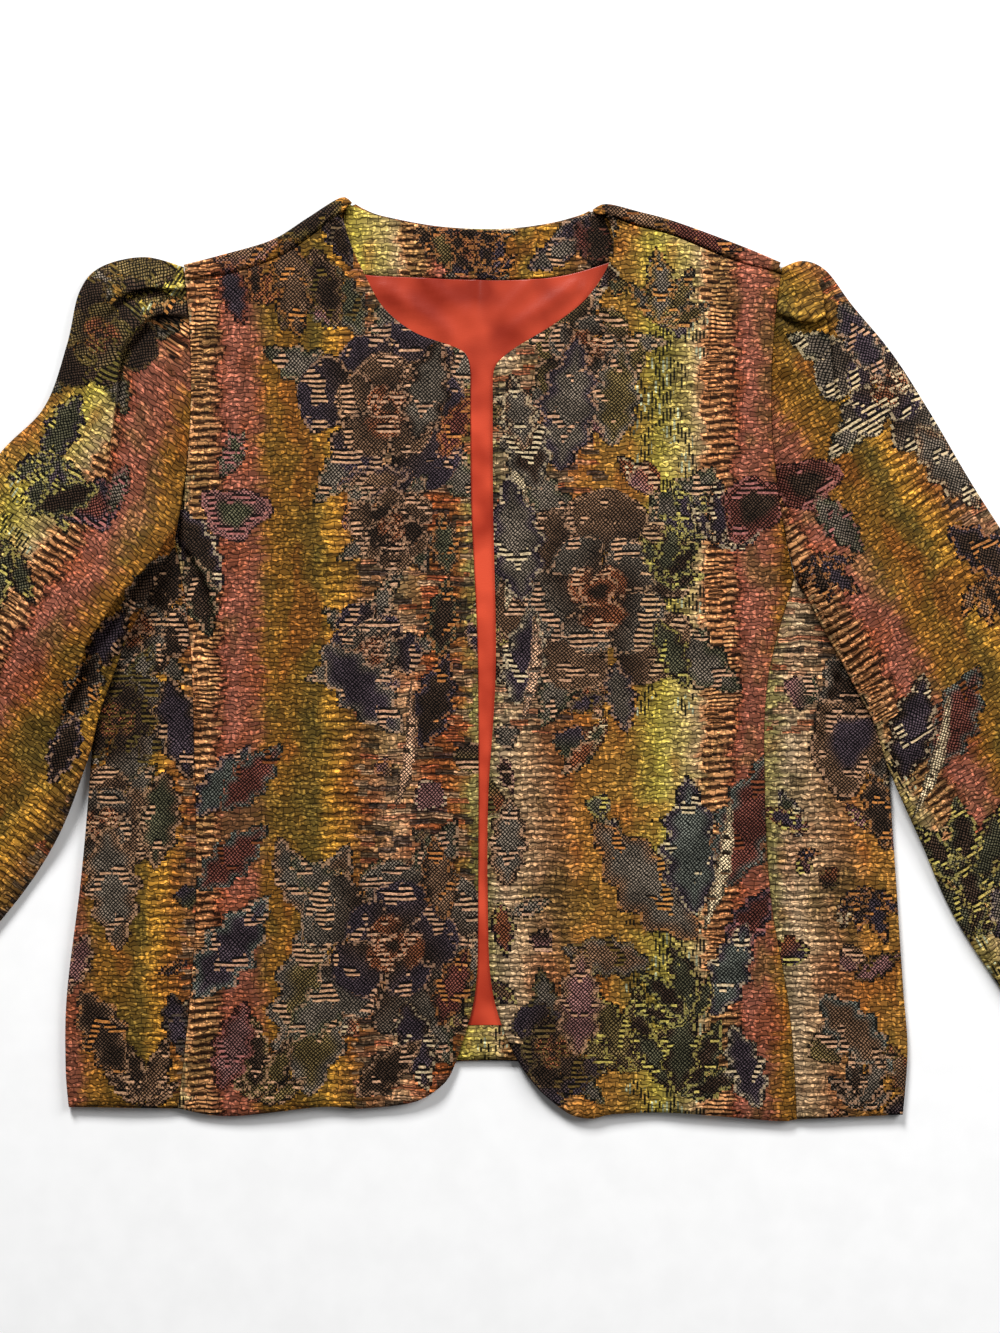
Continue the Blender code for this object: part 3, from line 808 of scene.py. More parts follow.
def tuft_rows(x, y, size, turn, first, second, line):
    """Pieces of a tuft: narrow leaves that fan out from one foot."""
    rows = []
    for number, lean in enumerate(TUFT_LEANS):
        length = size * (1 - TUFT_SHORTER * abs(lean)) * (1 + 0.1 * sin(4 * number + size))
        tones = (first, second) if number % 2 else (second, first)
        rows.append(("blade", x, y, length, turn + lean, *tones, line))
    return rows


def rose_rows(x, y, radius, turn, first, second, line):
    """Pieces of a full rose: leaves behind it, rings of petals and a small heart."""
    tones = (first, second)
    rows = []
    for ring, (kind, count, start, size, picks) in enumerate(ROSE_RINGS):
        pick, other = (tones[tone] if isinstance(tone, int) else tone for tone in picks)
        for number in range(count):
            way = turn + 360 * number / count + ROSE_RING_TURN * ring + ROSE_UNEVEN * sin(5 * number + turn)
            length = radius * size * (1 + 0.13 * sin(3 * number + ring + turn))
            from_x = x + radius * start * cos(radians(way))
            from_y = y + radius * start * sin(radians(way))
            rows.append((kind, from_x, from_y, length, way, pick, other, line))
    rows.append(("berry", x, y, ROSE_HEART * radius, turn, "dark", "rust", line))
    return rows


KINDS = {"petal": petal, "leaf": leaf, "stem": stem, "blade": blade, "berry": berry}
COMPOUND = {"rose": rose_rows, "tuft": tuft_rows}


def strewn_rows(panel):
    """Small leaves and petals strewn over a panel, apart from its plain stripes."""
    draw = np.random.default_rng(sum(map(ord, panel)))
    count, low_x, low_y, high_x, high_y = STREWN[panel]
    turn, shift = PANELS[panel]
    rows = []
    for _ in range(count):
        x, y = draw.uniform(low_x, high_x), draw.uniform(low_y, high_y)
        across = (x * cos(radians(turn)) + y * sin(radians(turn)) + shift - REPEAT_START) % REPEAT
        size, way = draw.uniform(*STREWN_SIZES), turn + draw.uniform(0, 360)
        tones, line = draw.choice(STREWN_TONES, 2), draw.choice(STREWN_LINES)
        kind = "leaf" if draw.random() < STREWN_LEAVES else "petal"
        if not any(start < across < end for start, end in PLAIN_STRIPES):
            rows.append((kind, x, y, size if kind == "leaf" else STREWN_PETAL * size, way, *tones, line))
    return rows


def motif_rows(panel):
    """Motifs of a panel, the strewn leaves first, under the placed ones."""
    rows = strewn_rows(panel) if panel in STREWN else []
    for words in np.reshape(MOTIFS.get(panel, "").split(), (-1, MOTIF_COLUMNS)).tolist():
        kind, *places, first, second, line = words
        row = (*map(float, places), first, second, line)
        rows.extend(COMPOUND[kind](*row) if kind in COMPOUND else [(kind, *row)])
    return rows


def draw_motifs(rows, x, y):
    """Fields of the motifs at points: how far inside, run of the lines, tone and line colour."""
    inside = np.full(len(x), FAR_OUTSIDE)
    lines = np.zeros(len(x))
    tone, ink = np.zeros((len(x), 3)), np.zeros((len(x), 3))
    for kind, at_x, at_y, size, turn, first, second, line in rows:
        reach = MOTIF_REACH * size + MOTIF_MARGIN
        near = np.flatnonzero(np.maximum(np.abs(x - at_x), np.abs(y - at_y)) < reach)
        if not len(near):
            continue
        c, s = cos(radians(turn)), sin(radians(turn))
        dx, dy = x[near] - at_x, y[near] - at_y
        here, run, share = KINDS[kind](c * dx + s * dy, c * dy - s * dx, size)
        over = (here > inside[near]) | (here > 0)
        at = near[over]
        inside[at], lines[at] = here[over], run[over]
        tone[at] = TONES[first] + share[over, None] * (TONES[second] - TONES[first])
        ink[at] = TONES[line]
    return inside, lines, tone, ink


def cloth_fields(panel, x, y):
    """Fields of the tapestry at points: place in the weave, motif and line with their slopes, and colours."""
    turn, shift = PANELS[panel]
    c, s = cos(radians(turn)), sin(radians(turn))
    rows = motif_rows(panel)
    inside, lines, tone, ink = draw_motifs(rows, x, y)
    beside = draw_motifs(rows, x + c * FIELD_STEP, y + s * FIELD_STEP)
    above = draw_motifs(rows, x - s * FIELD_STEP, y + c * FIELD_STEP)

    def with_slopes(field, here, limit):
        slopes = [np.clip((there[field] - here) / FIELD_STEP, -limit, limit) for there in (beside, above)]
        return np.column_stack([here, *slopes])

    _, hidden, _ = tucks(panel, x, y)
    return {
        "cloth": np.column_stack([c * x + s * y + shift + hidden, c * y - s * x, np.zeros(len(x))]),
        "motif": with_slopes(0, inside, MOTIF_SLOPE),
        "lines": with_slopes(1, lines, LINE_SLOPE),
        "tone": tone,
        "ink": ink,
    }


class Field:
    """Output of a shader node, with operations that add further nodes."""

    def __init__(self, tree, socket):
        self.tree = tree
        self.socket = socket

    def math(self, operation, *others):
        return node(self.tree, "ShaderNodeMath", (self, *others), operation=operation)

    __add__ = partialmethod(math, "ADD")
    __sub__ = partialmethod(math, "SUBTRACT")
    __mul__ = partialmethod(math, "MULTIPLY")
    __truediv__ = partialmethod(math, "DIVIDE")
    floor = partialmethod(math, "FLOOR")
    fract = partialmethod(math, "FRACT")
    size = partialmethod(math, "ABSOLUTE")
    above = partialmethod(math, "GREATER_THAN")
    below = partialmethod(math, "LESS_THAN")

    def scaled(self, by, plus):
        """Multiple of the field and a number more."""
        return self * by + plus

    def off_middle(self):
        """How far the field is from the middle between two whole numbers."""
        return (self.fract() - 0.5).size()

    def to_middle(self, width):
        """Way from here to the middle of a cell of a width."""
        return self.fract().scaled(-1.0, 0.5) * width

    def soft(self, low, high, to_low=0.0, to_high=1.0):
        """Smooth step between two levels."""
        levels = {"Value": self, "From Min": low, "From Max": high, "To Min": to_low, "To Max": to_high}
        return node(self.tree, "ShaderNodeMapRange", levels, interpolation_type="SMOOTHSTEP")

    def outputs(self):
        """Fields of all outputs of the node."""
        return [Field(self.tree, output) for output in self.socket.node.outputs]


def opaque(colour):
    """Colour with full alpha."""
    return (*(float(part) for part in colour), 1.0)


def feed(socket, value):
    """Link a field to a socket, or set the socket to a number or colour."""
    if isinstance(value, Field):
        value.tree.links.new(value.socket, socket)
    elif isinstance(value, np.ndarray):
        socket.default_value = opaque(value)
    else:
        socket.default_value = value


def node(tree, kind, inputs=(), output=0, **settings):
    """New node with its settings and inputs, in order or by name, as the field of one output."""
    made = tree.nodes.new(kind)
    for name, value in settings.items():
        setattr(made, name, value)
    for key, value in inputs.items() if isinstance(inputs, dict) else enumerate(inputs):
        feed(made.inputs[key], value)
    return Field(tree, made.outputs[output])


def vector(x, y, z=0.0):
    """Three numbers as one vector."""
    return node(x.tree, "ShaderNodeCombineXYZ", (x, y, z))


def attribute(tree, name, output="Vector"):
    """Field of a mesh attribute."""
    return node(tree, "ShaderNodeAttribute", output=output, attribute_name=name)


def parts_of(tree, name):
    """Three numbers of a vector attribute."""
    return node(tree, "ShaderNodeSeparateXYZ", (attribute(tree, name),)).outputs()


def mixed(share, first, second, blend="MIX"):
    """Two colours, the first one a field, mixed by a share."""
    inputs = {0: share, 6: first, 7: second}
    return node(first.tree, "ShaderNodeMix", inputs, 2, data_type="RGBA", blend_type=blend)


def shaded(colour, shade):
    """Colour multiplied by a shade."""
    return mixed(1.0, colour, vector(shade, shade, shade), "MULTIPLY")


def chance(column, row):
    """Random numbers of a cell: a value and three parts of a colour."""
    place = {"Vector": vector(column, row)}
    value, colour = node(column.tree, "ShaderNodeTexWhiteNoise", place, noise_dimensions="2D").outputs()
    return value, node(column.tree, "ShaderNodeSeparateColor", (colour,)).outputs()


def line_chance(number):
    """Random number of a row or column."""
    return node(number.tree, "ShaderNodeTexWhiteNoise", {"W": number}, noise_dimensions="1D")


def ramp(place, stops, width=1.0):
    """Colour ramp over a width, with stops of place and display colour."""
    made = node(place.tree, "ShaderNodeValToRGB", (place,))
    elements = made.socket.node.color_ramp.elements
    while len(elements) < len(stops):
        elements.new(0.5)
    for element, (at, *colour) in zip(elements, stops):
        element.position = at / width
        element.color = opaque(srgb(*colour))
    return made


def cloudy(place, scale, detail=2.0):
    """Soft noise of 0 to 1 over a place."""
    inputs = {"Vector": place, "Scale": scale, "Detail": detail}
    return node(place.tree, "ShaderNodeTexNoise", inputs, noise_dimensions="2D")


# Stripes of the ground: where they lie across one repeat in millimetres, and their lit display colour
STRIPES = [
    (0, 228, 162, 104), (13, 230, 164, 108), (20, 160, 86, 60), (26, 178, 106, 84), (41, 166, 98, 72),
    (51, 164, 110, 44), (64, 148, 104, 40), (82, 132, 102, 43), (92, 224, 160, 60), (105, 194, 130, 60),
    (118, 172, 116, 76), (136, 198, 152, 110), (156, 196, 104, 56), (174, 176, 110, 56), (184, 156, 140, 78),
    (194, 170, 152, 98), (204, 214, 182, 142), (215, 212, 172, 128), (229, 194, 142, 98), (253, 180, 120, 54),
    (286, 166, 122, 54), (306, 184, 164, 70), (322, 204, 178, 106), (331, 206, 172, 122), (335, 214, 146, 98),
]

# How far the stripes' edges wander, fray and step from row to row, in millimetres
STRIPE_WANDER = 11.0
STRIPE_FRAY = 7.0
STRIPE_STEP = 6.0

# Patches of other dyes: place, scale and detail of their noise, then each one's levels, share and colour
PATCH_START = 700.0
PATCH_STRETCH = 0.6
PATCH_SCALE = 0.03
PATCH_DETAIL = 3.0
PATCHES = [(0.52, 0.68, 0.5, srgb(112, 98, 44)), (0.46, 0.34, 0.4, srgb(170, 86, 40))]

# Ribbed stripes: start and end across the repeat, pitch of the ribs in millimetres, and depth of their shade
RIBS = [(88, 124, 6.0, 0.62), (146, 172, 5.2, 0.75), (192, 246, 4.6, 0.62), (316, 333, 5.0, 0.4)]
RIB_EDGE = (0.1, 0.46)
RIB_DARK = srgb(50, 27, 14)

# Runged stripe of light bars on dark, with blocks of finer bars, in millimetres
RUNGS = (0, 20)
RUNG_PITCH = 5.4
RUNG_BLOCK = 27.0
RUNG_COLUMN = 9.0
RUNG_SHIFT = 0.4
RUNG_EDGE = (0.12, 0.4)
FINE_RUNG_EDGE = (0.16, 0.36)
FINE_RUNG_FROM = 0.7
RUNG_SHARE = 0.92
RUNG_DARK = srgb(66, 34, 19)

# Upright strokes in the lime stripe, in millimetres, with the rows that stay clear of them
STROKED = (284, 334)
STROKE_PITCH = 2.4
STROKE_WIDTH = 0.56
STROKE_RUN = 11.0
STROKE_LENGTH = 0.7
STROKE_STAGGER = 7.0
STROKE_SHARE = 0.9
STROKE_CLEAR = (196, 262)
STROKE_END = 540.0
STROKE_TONES = [(0.35, 24, 32, 34), (0.75, 46, 52, 38), (0.85, 176, 182, 150)]
CLUMP_PLACE = (0.7, 300.0)
CLUMP_SCALE = 0.055
CLUMP_FROM = 0.5

# Barred blocks of mixed yarn between the flowers: start and end across the repeat, and sizes in millimetres
BUSY = (108, 184)
BUSY_ABOVE = (190, 268)
BUSY_FROM = 250.0
BLOCK_U = 12.0
BLOCK_V = 3.6
BLOCK_STAGGER = 5.0
BLOCK_BAR = 1.8
BLOCK_BAR_FROM = 0.46
BLOCK_BAR_SHARE = 0.7
BLOCK_FROM = 0.5
BLOCK_SHARE = 0.8
BLOCK_TONES = [
    (0.0, 30, 24, 20), (0.2, 96, 72, 50), (0.4, 206, 128, 74), (0.55, 188, 94, 60), (0.7, 210, 168, 128),
    (0.85, 96, 86, 66), (1.0, 58, 58, 66),
]

# Yarn of the ground in millimetres, the edges and darkness of its gaps, its spread of shades, and its curls
ROW = 2.8
DASH = 7.2
DASH_STAGGER = 9.0
ROW_GAP = (0.28, 0.5)
ROW_GAP_DARK = 0.74
DASH_GAP = (0.44, 0.5)
DASH_GAP_DARK = 0.7
YARN_SHADES = (0.46, 0.66)
CURL_SCALE = 0.26
CURL_DETAIL = 0.8
CURL_BANDS = 2.0
CURL_REACH = 0.32
CURL_SHADES = (0.85, 0.64)

# Weave of the motifs in millimetres: steps of their rim, dots, bars and runs of bars
STEP_U = 1.9
STEP_V = 1.5
RIM_UNEVEN = 1.3
DOT = 2.5
DOT_EDGE = (0.18, 0.42, 1.0, 0.0)
BAR = 3.3
BAR_WIDTH = 0.46
BAR_RUN = 14.0
BAR_UNEVEN = 0.14

# Shades of the motifs: worn patches, single threads, ground and dots, and tan and ground mixed into the yarns
WORN = (0.3, 0.7, 0.72, 1.2)
THREAD_SHADES = (0.5, 0.75)
UNDER_DOTS = 0.12
ON_DOTS = 1.4
TAN_IN_DOTS = 0.12
GROUND_IN_INK = 0.2

# Rim, ring and bands of the motifs: where they lie inside the outline in millimetres, and how strong they are
RIM = 1.1
RIM_SHARE = 0.75
RING = (1.1, 2.6)
RING_FROM = 0.42
RING_SHARE = 0.45
BAND_INSIDE = 0.8
BAND_WIDTH = 0.24
BAND_WHERE = (0.47, 0.49)
BAND_SHARE = 0.85
BAR_SHARE = 0.9
BAR_SHADES = (0.5, 0.62)

# Unevenness of the whole cloth: scales of drift and crimp, and how far they bend the rows in millimetres
DRIFT_SCALE = 0.04
CRIMP_SCALE = 0.19
ROW_DRIFT = 4.0
ROW_CRIMP = 0.8
YARN_CRIMP = 3.0

# How much darker the dark yarns are, the brightness that stays as it is, and the most that light ones gain
CONTRAST = 0.41
CONTRAST_LEVEL = 0.155
CONTRAST_MOST = 1.36

# Satin: slant, scale and detail of its uneven colour, partly dye and partly painted sheen and shade, its
# colours, painted shade from the foot to the neck by height, brighter low down and darker near the neck, and
# threads
SATIN_SLANT = (0.5, -0.3)
SATIN_SCALE = 0.032
SATIN_DETAIL = 1.5
SATIN_DYE_AND_SHEEN = [(0.3, 142, 38, 18), (0.7, 192, 68, 42)]
SATIN_PAINTED_SHADE = (430.0, 520.0, 1.26, 0.95)
THREAD_STRETCH = (0.3, 2.0)
THREAD_SCALE = 1.2

# Gloss as roughness and specular level, and relief as strength and depth in metres
TAPESTRY_GLOSS = (0.7, 0.06)
TAPESTRY_RELIEF = (0.6, 0.0007)
DOT_RELIEF = 0.5
SATIN_GLOSS = (0.36, 0.4)
SATIN_RELIEF = (0.12, 0.0003)
PAPER_GLOSS = (0.9, 0.1)


def new_material(name, roughness, specular):
    """Material with a Principled shader: the material, its node tree and the shader."""
    made = bpy.data.materials.new(name)
    made.use_nodes = True
    shader = made.node_tree.nodes["Principled BSDF"]
    shader.inputs["Roughness"].default_value = roughness
    shader.inputs["Specular IOR Level"].default_value = specular
    return made, made.node_tree, shader


def relief(shader, height, strength, distance):
    """Fine relief on a shader, with its depth in metres."""
    inputs = {"Strength": strength, "Distance": distance, "Height": height}
    feed(shader.inputs["Normal"], node(height.tree, "ShaderNodeBump", inputs))


def within(place, start, end):
    """One between a start and an end across the repeat."""
    return place.above(start) * place.below(end)


def yarn(u, v, place):
    """Shade of the ground's yarn: staggered dashes with dark gaps, and curling lighter threads on them."""
    row = v / ROW
    dash = u / DASH + line_chance(row.floor()) * DASH_STAGGER
    lot, _ = chance(dash.floor(), row.floor())
    row_gap = row.off_middle().soft(*ROW_GAP) * ROW_GAP_DARK
    dash_gap = dash.off_middle().soft(*DASH_GAP) * DASH_GAP_DARK
    gap = row_gap.math("MAXIMUM", dash_gap)
    curl = (cloudy(place, CURL_SCALE, CURL_DETAIL) * CURL_BANDS).off_middle().soft(0.0, CURL_REACH, 1.0, 0.0)
    return lot.scaled(*YARN_SHADES) * gap.scaled(-1.0, 1.0) * curl.scaled(*CURL_SHADES)


def ground_colour(u, v, drift, crimp):
    """Colour of the ground: stripes that wander, with ribs, rungs, blocks and upright strokes."""
    row_lot = line_chance((v / ROW).floor())
    wander = (drift - 0.5) * STRIPE_WANDER + (crimp - 0.5) * STRIPE_FRAY + (row_lot - 0.5) * STRIPE_STEP
    across = (u + wander - REPEAT_START) / REPEAT
    colour = ramp(across.fract(), STRIPES, REPEAT)
    place = across.fract() * REPEAT
    hue = cloudy(vector(u + PATCH_START, v * PATCH_STRETCH), PATCH_SCALE, PATCH_DETAIL)
    for low, high, share, dye in PATCHES:
        colour = mixed(hue.soft(low, high) * share, colour, dye)
    for start, end, pitch, depth in RIBS:
        rib = (v / pitch).off_middle().soft(*RIB_EDGE)
        colour = mixed(rib * within(place, start, end) * depth, colour, RIB_DARK)
    colour = mixed(rungs(place, v) * within(place, *RUNGS), colour, RUNG_DARK)
    colour = blocks(u, v, place, colour)
    return strokes(u, v, place, colour)


def blocks(u, v, place, colour):
    """Colour with barred blocks of mixed yarn between the flowers."""
    row = v / BLOCK_V
    column = u / BLOCK_U + line_chance(row.floor()) * BLOCK_STAGGER
    lot, (pick, _, _) = chance(column.floor(), row.floor())
    bar = (v / BLOCK_BAR).fract().above(BLOCK_BAR_FROM)
    tone = mixed(bar * BLOCK_BAR_SHARE, ramp(lot, BLOCK_TONES), RIB_DARK)
    where = within(place, *BUSY) + within(place, *BUSY_ABOVE) * v.above(BUSY_FROM)
    return mixed(pick.above(BLOCK_FROM) * where * BLOCK_SHARE, colour, tone)


def rungs(place, v):
    """Share of dark in the runged stripe."""
    column = (place / RUNG_COLUMN).floor()
    phase = line_chance(column)
    lot, _ = chance(column, (v / RUNG_BLOCK + phase).floor())
    wide = (v / RUNG_PITCH + phase * RUNG_SHIFT).off_middle().soft(*RUNG_EDGE)
    fine = (v / RUNG_PITCH * 2.0).off_middle().soft(*FINE_RUNG_EDGE)
    return (wide + (fine - wide) * lot.above(FINE_RUNG_FROM)) * RUNG_SHARE


def strokes(u, v, place, colour):
    """Colour with upright strokes in clumps on the lime stripe."""
    column = (u / STROKE_PITCH).floor()
    run = v / STROKE_RUN + line_chance(column) * STROKE_STAGGER
    clump = cloudy(vector(u, v.scaled(*CLUMP_PLACE)), CLUMP_SCALE).above(CLUMP_FROM)
    rows = v.below(STROKE_CLEAR[0]) + v.above(STROKE_CLEAR[1]) * v.below(STROKE_END)
    on = (u / STROKE_PITCH).fract().below(STROKE_WIDTH) * run.fract().below(STROKE_LENGTH)
    share = on * clump * rows * within(place, *STROKED) * STROKE_SHARE
    lot, _ = chance(column, run.floor())
    return mixed(share, colour, ramp(lot, STROKE_TONES))


def motif_weave(u, v, drift, crimp, ground):
    """Colour of the motifs, a slanting lattice of dots with a dark rim and light bars, and where they lie."""
    tree, dark = u.tree, TONES["dark"]
    step_u, step_v = u / STEP_U, v / STEP_V
    lot, (lot_a, lot_b, _) = chance(step_u.floor(), step_v.floor())
    motif, motif_u, motif_v = parts_of(tree, "motif")
    inside = motif + motif_u * step_u.to_middle(STEP_U) + motif_v * step_v.to_middle(STEP_V)
    inside = inside + (lot_a - 0.5) * RIM_UNEVEN
    tone = attribute(tree, "tone", "Color")
    rising = ((u + v) / DOT + crimp).off_middle()
    falling = ((u - v) / DOT + crimp).off_middle()
    dots = rising.math("MAXIMUM", falling).soft(*DOT_EDGE)
    light = mixed(TAN_IN_DOTS, tone, TONES["tan"])
    worn = drift.soft(*WORN) * lot.scaled(*THREAD_SHADES)
    fill = mixed(dots, shaded(tone, worn * UNDER_DOTS), shaded(light, worn * ON_DOTS))

    bar = v / BAR
    lines, _, lines_v = parts_of(tree, "lines")
    end_lot, _ = chance((u / BAR_RUN).floor(), bar.floor())
    run = (lines + lines_v * bar.to_middle(BAR) + (end_lot - 0.5) * BAR_UNEVEN).fract()
    banded = run.below(BAND_WIDTH) * inside.above(BAND_INSIDE) * drift.soft(*BAND_WHERE)
    on_bar = banded * bar.fract().below(BAR_WIDTH)
    ink = mixed(GROUND_IN_INK, attribute(tree, "ink", "Color"), ground)
    ring = within(inside, *RING) * lot_b.above(RING_FROM)
    fill = mixed(ring * RING_SHARE, fill, ink)
    fill = mixed(inside.below(RIM) * RIM_SHARE, fill, dark)
    fill = mixed(banded * BAND_SHARE, fill, dark)
    fill = mixed(on_bar * BAR_SHARE, fill, shaded(ink, lot_b.scaled(*BAR_SHADES)))
    return fill, inside.above(0.0), dots


def tapestry():
    """Tapestry: ground of curling yarn in shaded stripes, with motifs in a dotted weave and barred lines."""
    made, tree, shader = new_material("tapestry", *TAPESTRY_GLOSS)
    u, v, _ = parts_of(tree, "cloth")
    place = vector(u, v)
    drift = cloudy(place, DRIFT_SCALE)
    crimp = cloudy(place, CRIMP_SCALE, 1.0)
    v = v + (drift - 0.5) * ROW_DRIFT + (crimp - 0.5) * ROW_CRIMP

    shade = yarn(u, v + (crimp - 0.5) * YARN_CRIMP, place)
    plain = ground_colour(u, v, drift, crimp)
    fill, in_motif, dots = motif_weave(u, v, drift, crimp, plain)
    colour = mixed(in_motif, shaded(plain, shade), fill)
    depth = (node(tree, "ShaderNodeRGBToBW", (colour,)) / CONTRAST_LEVEL).math("POWER", CONTRAST)
    feed(shader.inputs["Base Color"], shaded(colour, depth.math("MINIMUM", CONTRAST_MOST)))
    relief(shader, shade + (dots * DOT_RELIEF - shade) * in_motif, *TAPESTRY_RELIEF)
    return made


def satin():
    """Coral satin lining, slightly uneven in colour with painted sheen and shade, with painted shade darker
    toward the neck, and a fine weave.
    """
    made, tree, shader = new_material("lining", *SATIN_GLOSS)
    u, v, _ = parts_of(tree, "cloth")
    slant_u, slant_v = SATIN_SLANT
    # Blotches of colour, partly dye and partly painted sheen and shade, then painted shade: brighter low
    # down, darker toward the neck
    dye_and_sheen = cloudy(vector(u + v * slant_u, v + u * slant_v), SATIN_SCALE, SATIN_DETAIL)
    feed(shader.inputs["Base Color"], shaded(ramp(dye_and_sheen, SATIN_DYE_AND_SHEEN), v.soft(*SATIN_PAINTED_SHADE)))
    stretch_u, stretch_v = THREAD_STRETCH
    threads = cloudy(vector(u * stretch_u, v * stretch_v), THREAD_SCALE, 1.0)
    relief(shader, threads, *SATIN_RELIEF)
    return made


def shell(node_name, points, wall, look, ring=False, kept=None,
          place=None):
    """Cloth of one panel from a grid of its outer face, in place of its solid."""
    rows, columns = points.shape[:2]
    spans = columns if ring else columns - 1
    row, column = np.meshgrid(np.arange(rows - 1), np.arange(spans), indexing="ij")
    beside = (column + 1) % columns
    low, high = row * columns, (row + 1) * columns
    faces = np.stack([low + column, low + beside, high + beside, high + column], axis=-1).reshape(-1, 4)
    if kept is not None:
        faces = faces[kept.reshape(-1)]
    used, faces = np.unique(faces, return_inverse=True)
    flat_points = points.reshape(-1, 3)[used]
    mesh = bpy.data.meshes.new(node_name + "_cloth")
    placed = (flat_points - (CENTRE_X, CENTRE_Y, 0)) * MM
    mesh.from_pydata(placed.tolist(), [], faces.reshape(-1, 4).tolist())
    mesh.shade_smooth()
    mesh.materials.append(look)
    place = points if place is None else place
    set_fields(mesh, node_name, place.reshape(-1, place.shape[-1])[used])
    made = bpy.data.objects.new(mesh.name, mesh)
    bpy.context.collection.objects.link(made)
    solidify = made.modifiers.new("wall", "SOLIDIFY")
    solidify.thickness = wall * MM
    solidify.offset = -1
    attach(made, "root")
    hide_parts(node_name)
    return made


def set_fields(mesh, panel, points):
    """Store the cloth's fields on the mesh."""
    if panel in PANELS:
        fields = cloth_fields(panel, points[:, 0], points[:, 1])
    else:
        fields = {"cloth": points}
    for name, values in fields.items():
        kind, entry = "FLOAT_VECTOR", "vector"
        if name in ("tone", "ink"):
            kind, entry = "FLOAT_COLOR", "color"
            values = np.column_stack([values, np.ones(len(values))])
        layer = mesh.attributes.new(name, kind, "POINT")
        layer.data.foreach_set(entry, values.astype(np.float32).ravel())


def front(side, look):
    """Front panel between the open edge, the hem, the side-front seam, the armhole and the shoulder seam."""
    name = "front_" + side
    across, up = eased(FRONT_COLUMNS), even(SEAM_ROWS + ARMHOLE_ROWS)
    seam = along(SIDE_SEAM[side], even(SEAM_ROWS))
    shoulder = along(SHOULDER[side], across)[:, 2:]
    shares = [armhole_share(side, end[1]) for end in (seam[-1], shoulder[-1])]
    outer = np.vstack([seam[:-1], armhole(side, np.linspace(*shares, ARMHOLE_ROWS + 1))])
    outer[-1] = shoulder[-1]
    outer[:, 0] -= outward(side) * SEAM_GAP / 2
    edge, neck = along(FRONT_EDGE[side], even(SEAM_ROWS)), along(FRONT_NECK[side], even(ARMHOLE_ROWS))
    inner = np.vstack([edge[:-1], neck])
    foot = along(FRONT_HEM[side], across)
    shoulder[:, 1] -= NECK_EASE * np.linspace(1, 0, len(shoulder)) ** 2
    foot[-1], shoulder[-1] = outer[0], outer[-1]
    foot[0], inner[-1] = inner[0], shoulder[0]
    plane = patch(foot, shoulder, inner, outer, across, up)
    x, y = plane[..., 0], plane[..., 1]
    to_edge, to_seam, to_hem, to_shoulder = distances(plane)
    height = FRONT_TOP + front_lift(x, y) + crease_lift(BODY_CREASES, x, y) + ripple(x, y)
    height += tucks(name, x, y)[0]
    height += (seam_dip(to_seam, y) + SHOULDER_SEAM * seam_dip(to_shoulder, x)
               + edge_roll(to_edge) + edge_roll(to_hem))
    points = outer_face(side, with_height(plane, np.maximum(height, FRONT_LOW)))
    return shell(name, points, CLOTH, look)


def side_panel(side, look):
    """Side panel from the side-front seam over the side fold to the back seam, as its outer face."""
    out = outward(side)
    seam = along(SIDE_SEAM[side], even(SEAM_ROWS))
    seam[:, 0] += out * SEAM_GAP / 2
    edge = along(SIDE_EDGE[side], even(SEAM_ROWS))
    back_seam = along(BACK_SEAM[side], even(SEAM_ROWS))
    back_seam[:, 0] += out * SEAM_GAP / 2
    rise = front_lift(seam[:, 0], seam[:, 1])
    turn = edge - (out * SIDE_FOLD, 0)
    hem = np.r_[0, np.cumsum(np.linalg.norm(np.diff(seam, axis=0), axis=1))]
    points = []
    for share in eased(SIDE_FRONT_COLUMNS)[:-1]:
        line = seam + share * (turn - seam)
        x, y = line.T
        loose = min(1.0, SIDE_FADE * (1 - share))
        folds = crease_lift(BODY_CREASES, x, y) + tucks("front_" + side, x, y)[0] + ripple(x, y)
        height = FRONT_TOP + rise * (1 - share) ** 2 + loose * folds
        height += seam_dip(share * np.linalg.norm(turn - seam, axis=1), y) + edge_roll(hem)
        points.append(np.column_stack([line, np.maximum(height, FRONT_LOW)]))
    for step in range(FOLD_STEPS + 1):
        angle = pi * step / FOLD_STEPS
        x = turn[:, 0] + out * SIDE_FOLD * sin(angle)
        height = np.full(len(x), SIDE_FOLD * (1 + cos(angle)))
        points.append(np.column_stack([x, turn[:, 1], height]))
    for share in even(SIDE_BACK_COLUMNS)[1:]:
        points.append(np.column_stack([turn + share * (back_seam - turn), np.zeros(len(turn))]))
    points = outer_face(side, np.array(points).transpose(1, 0, 2))
    return shell("side_panel_" + side, points, CLOTH, look)


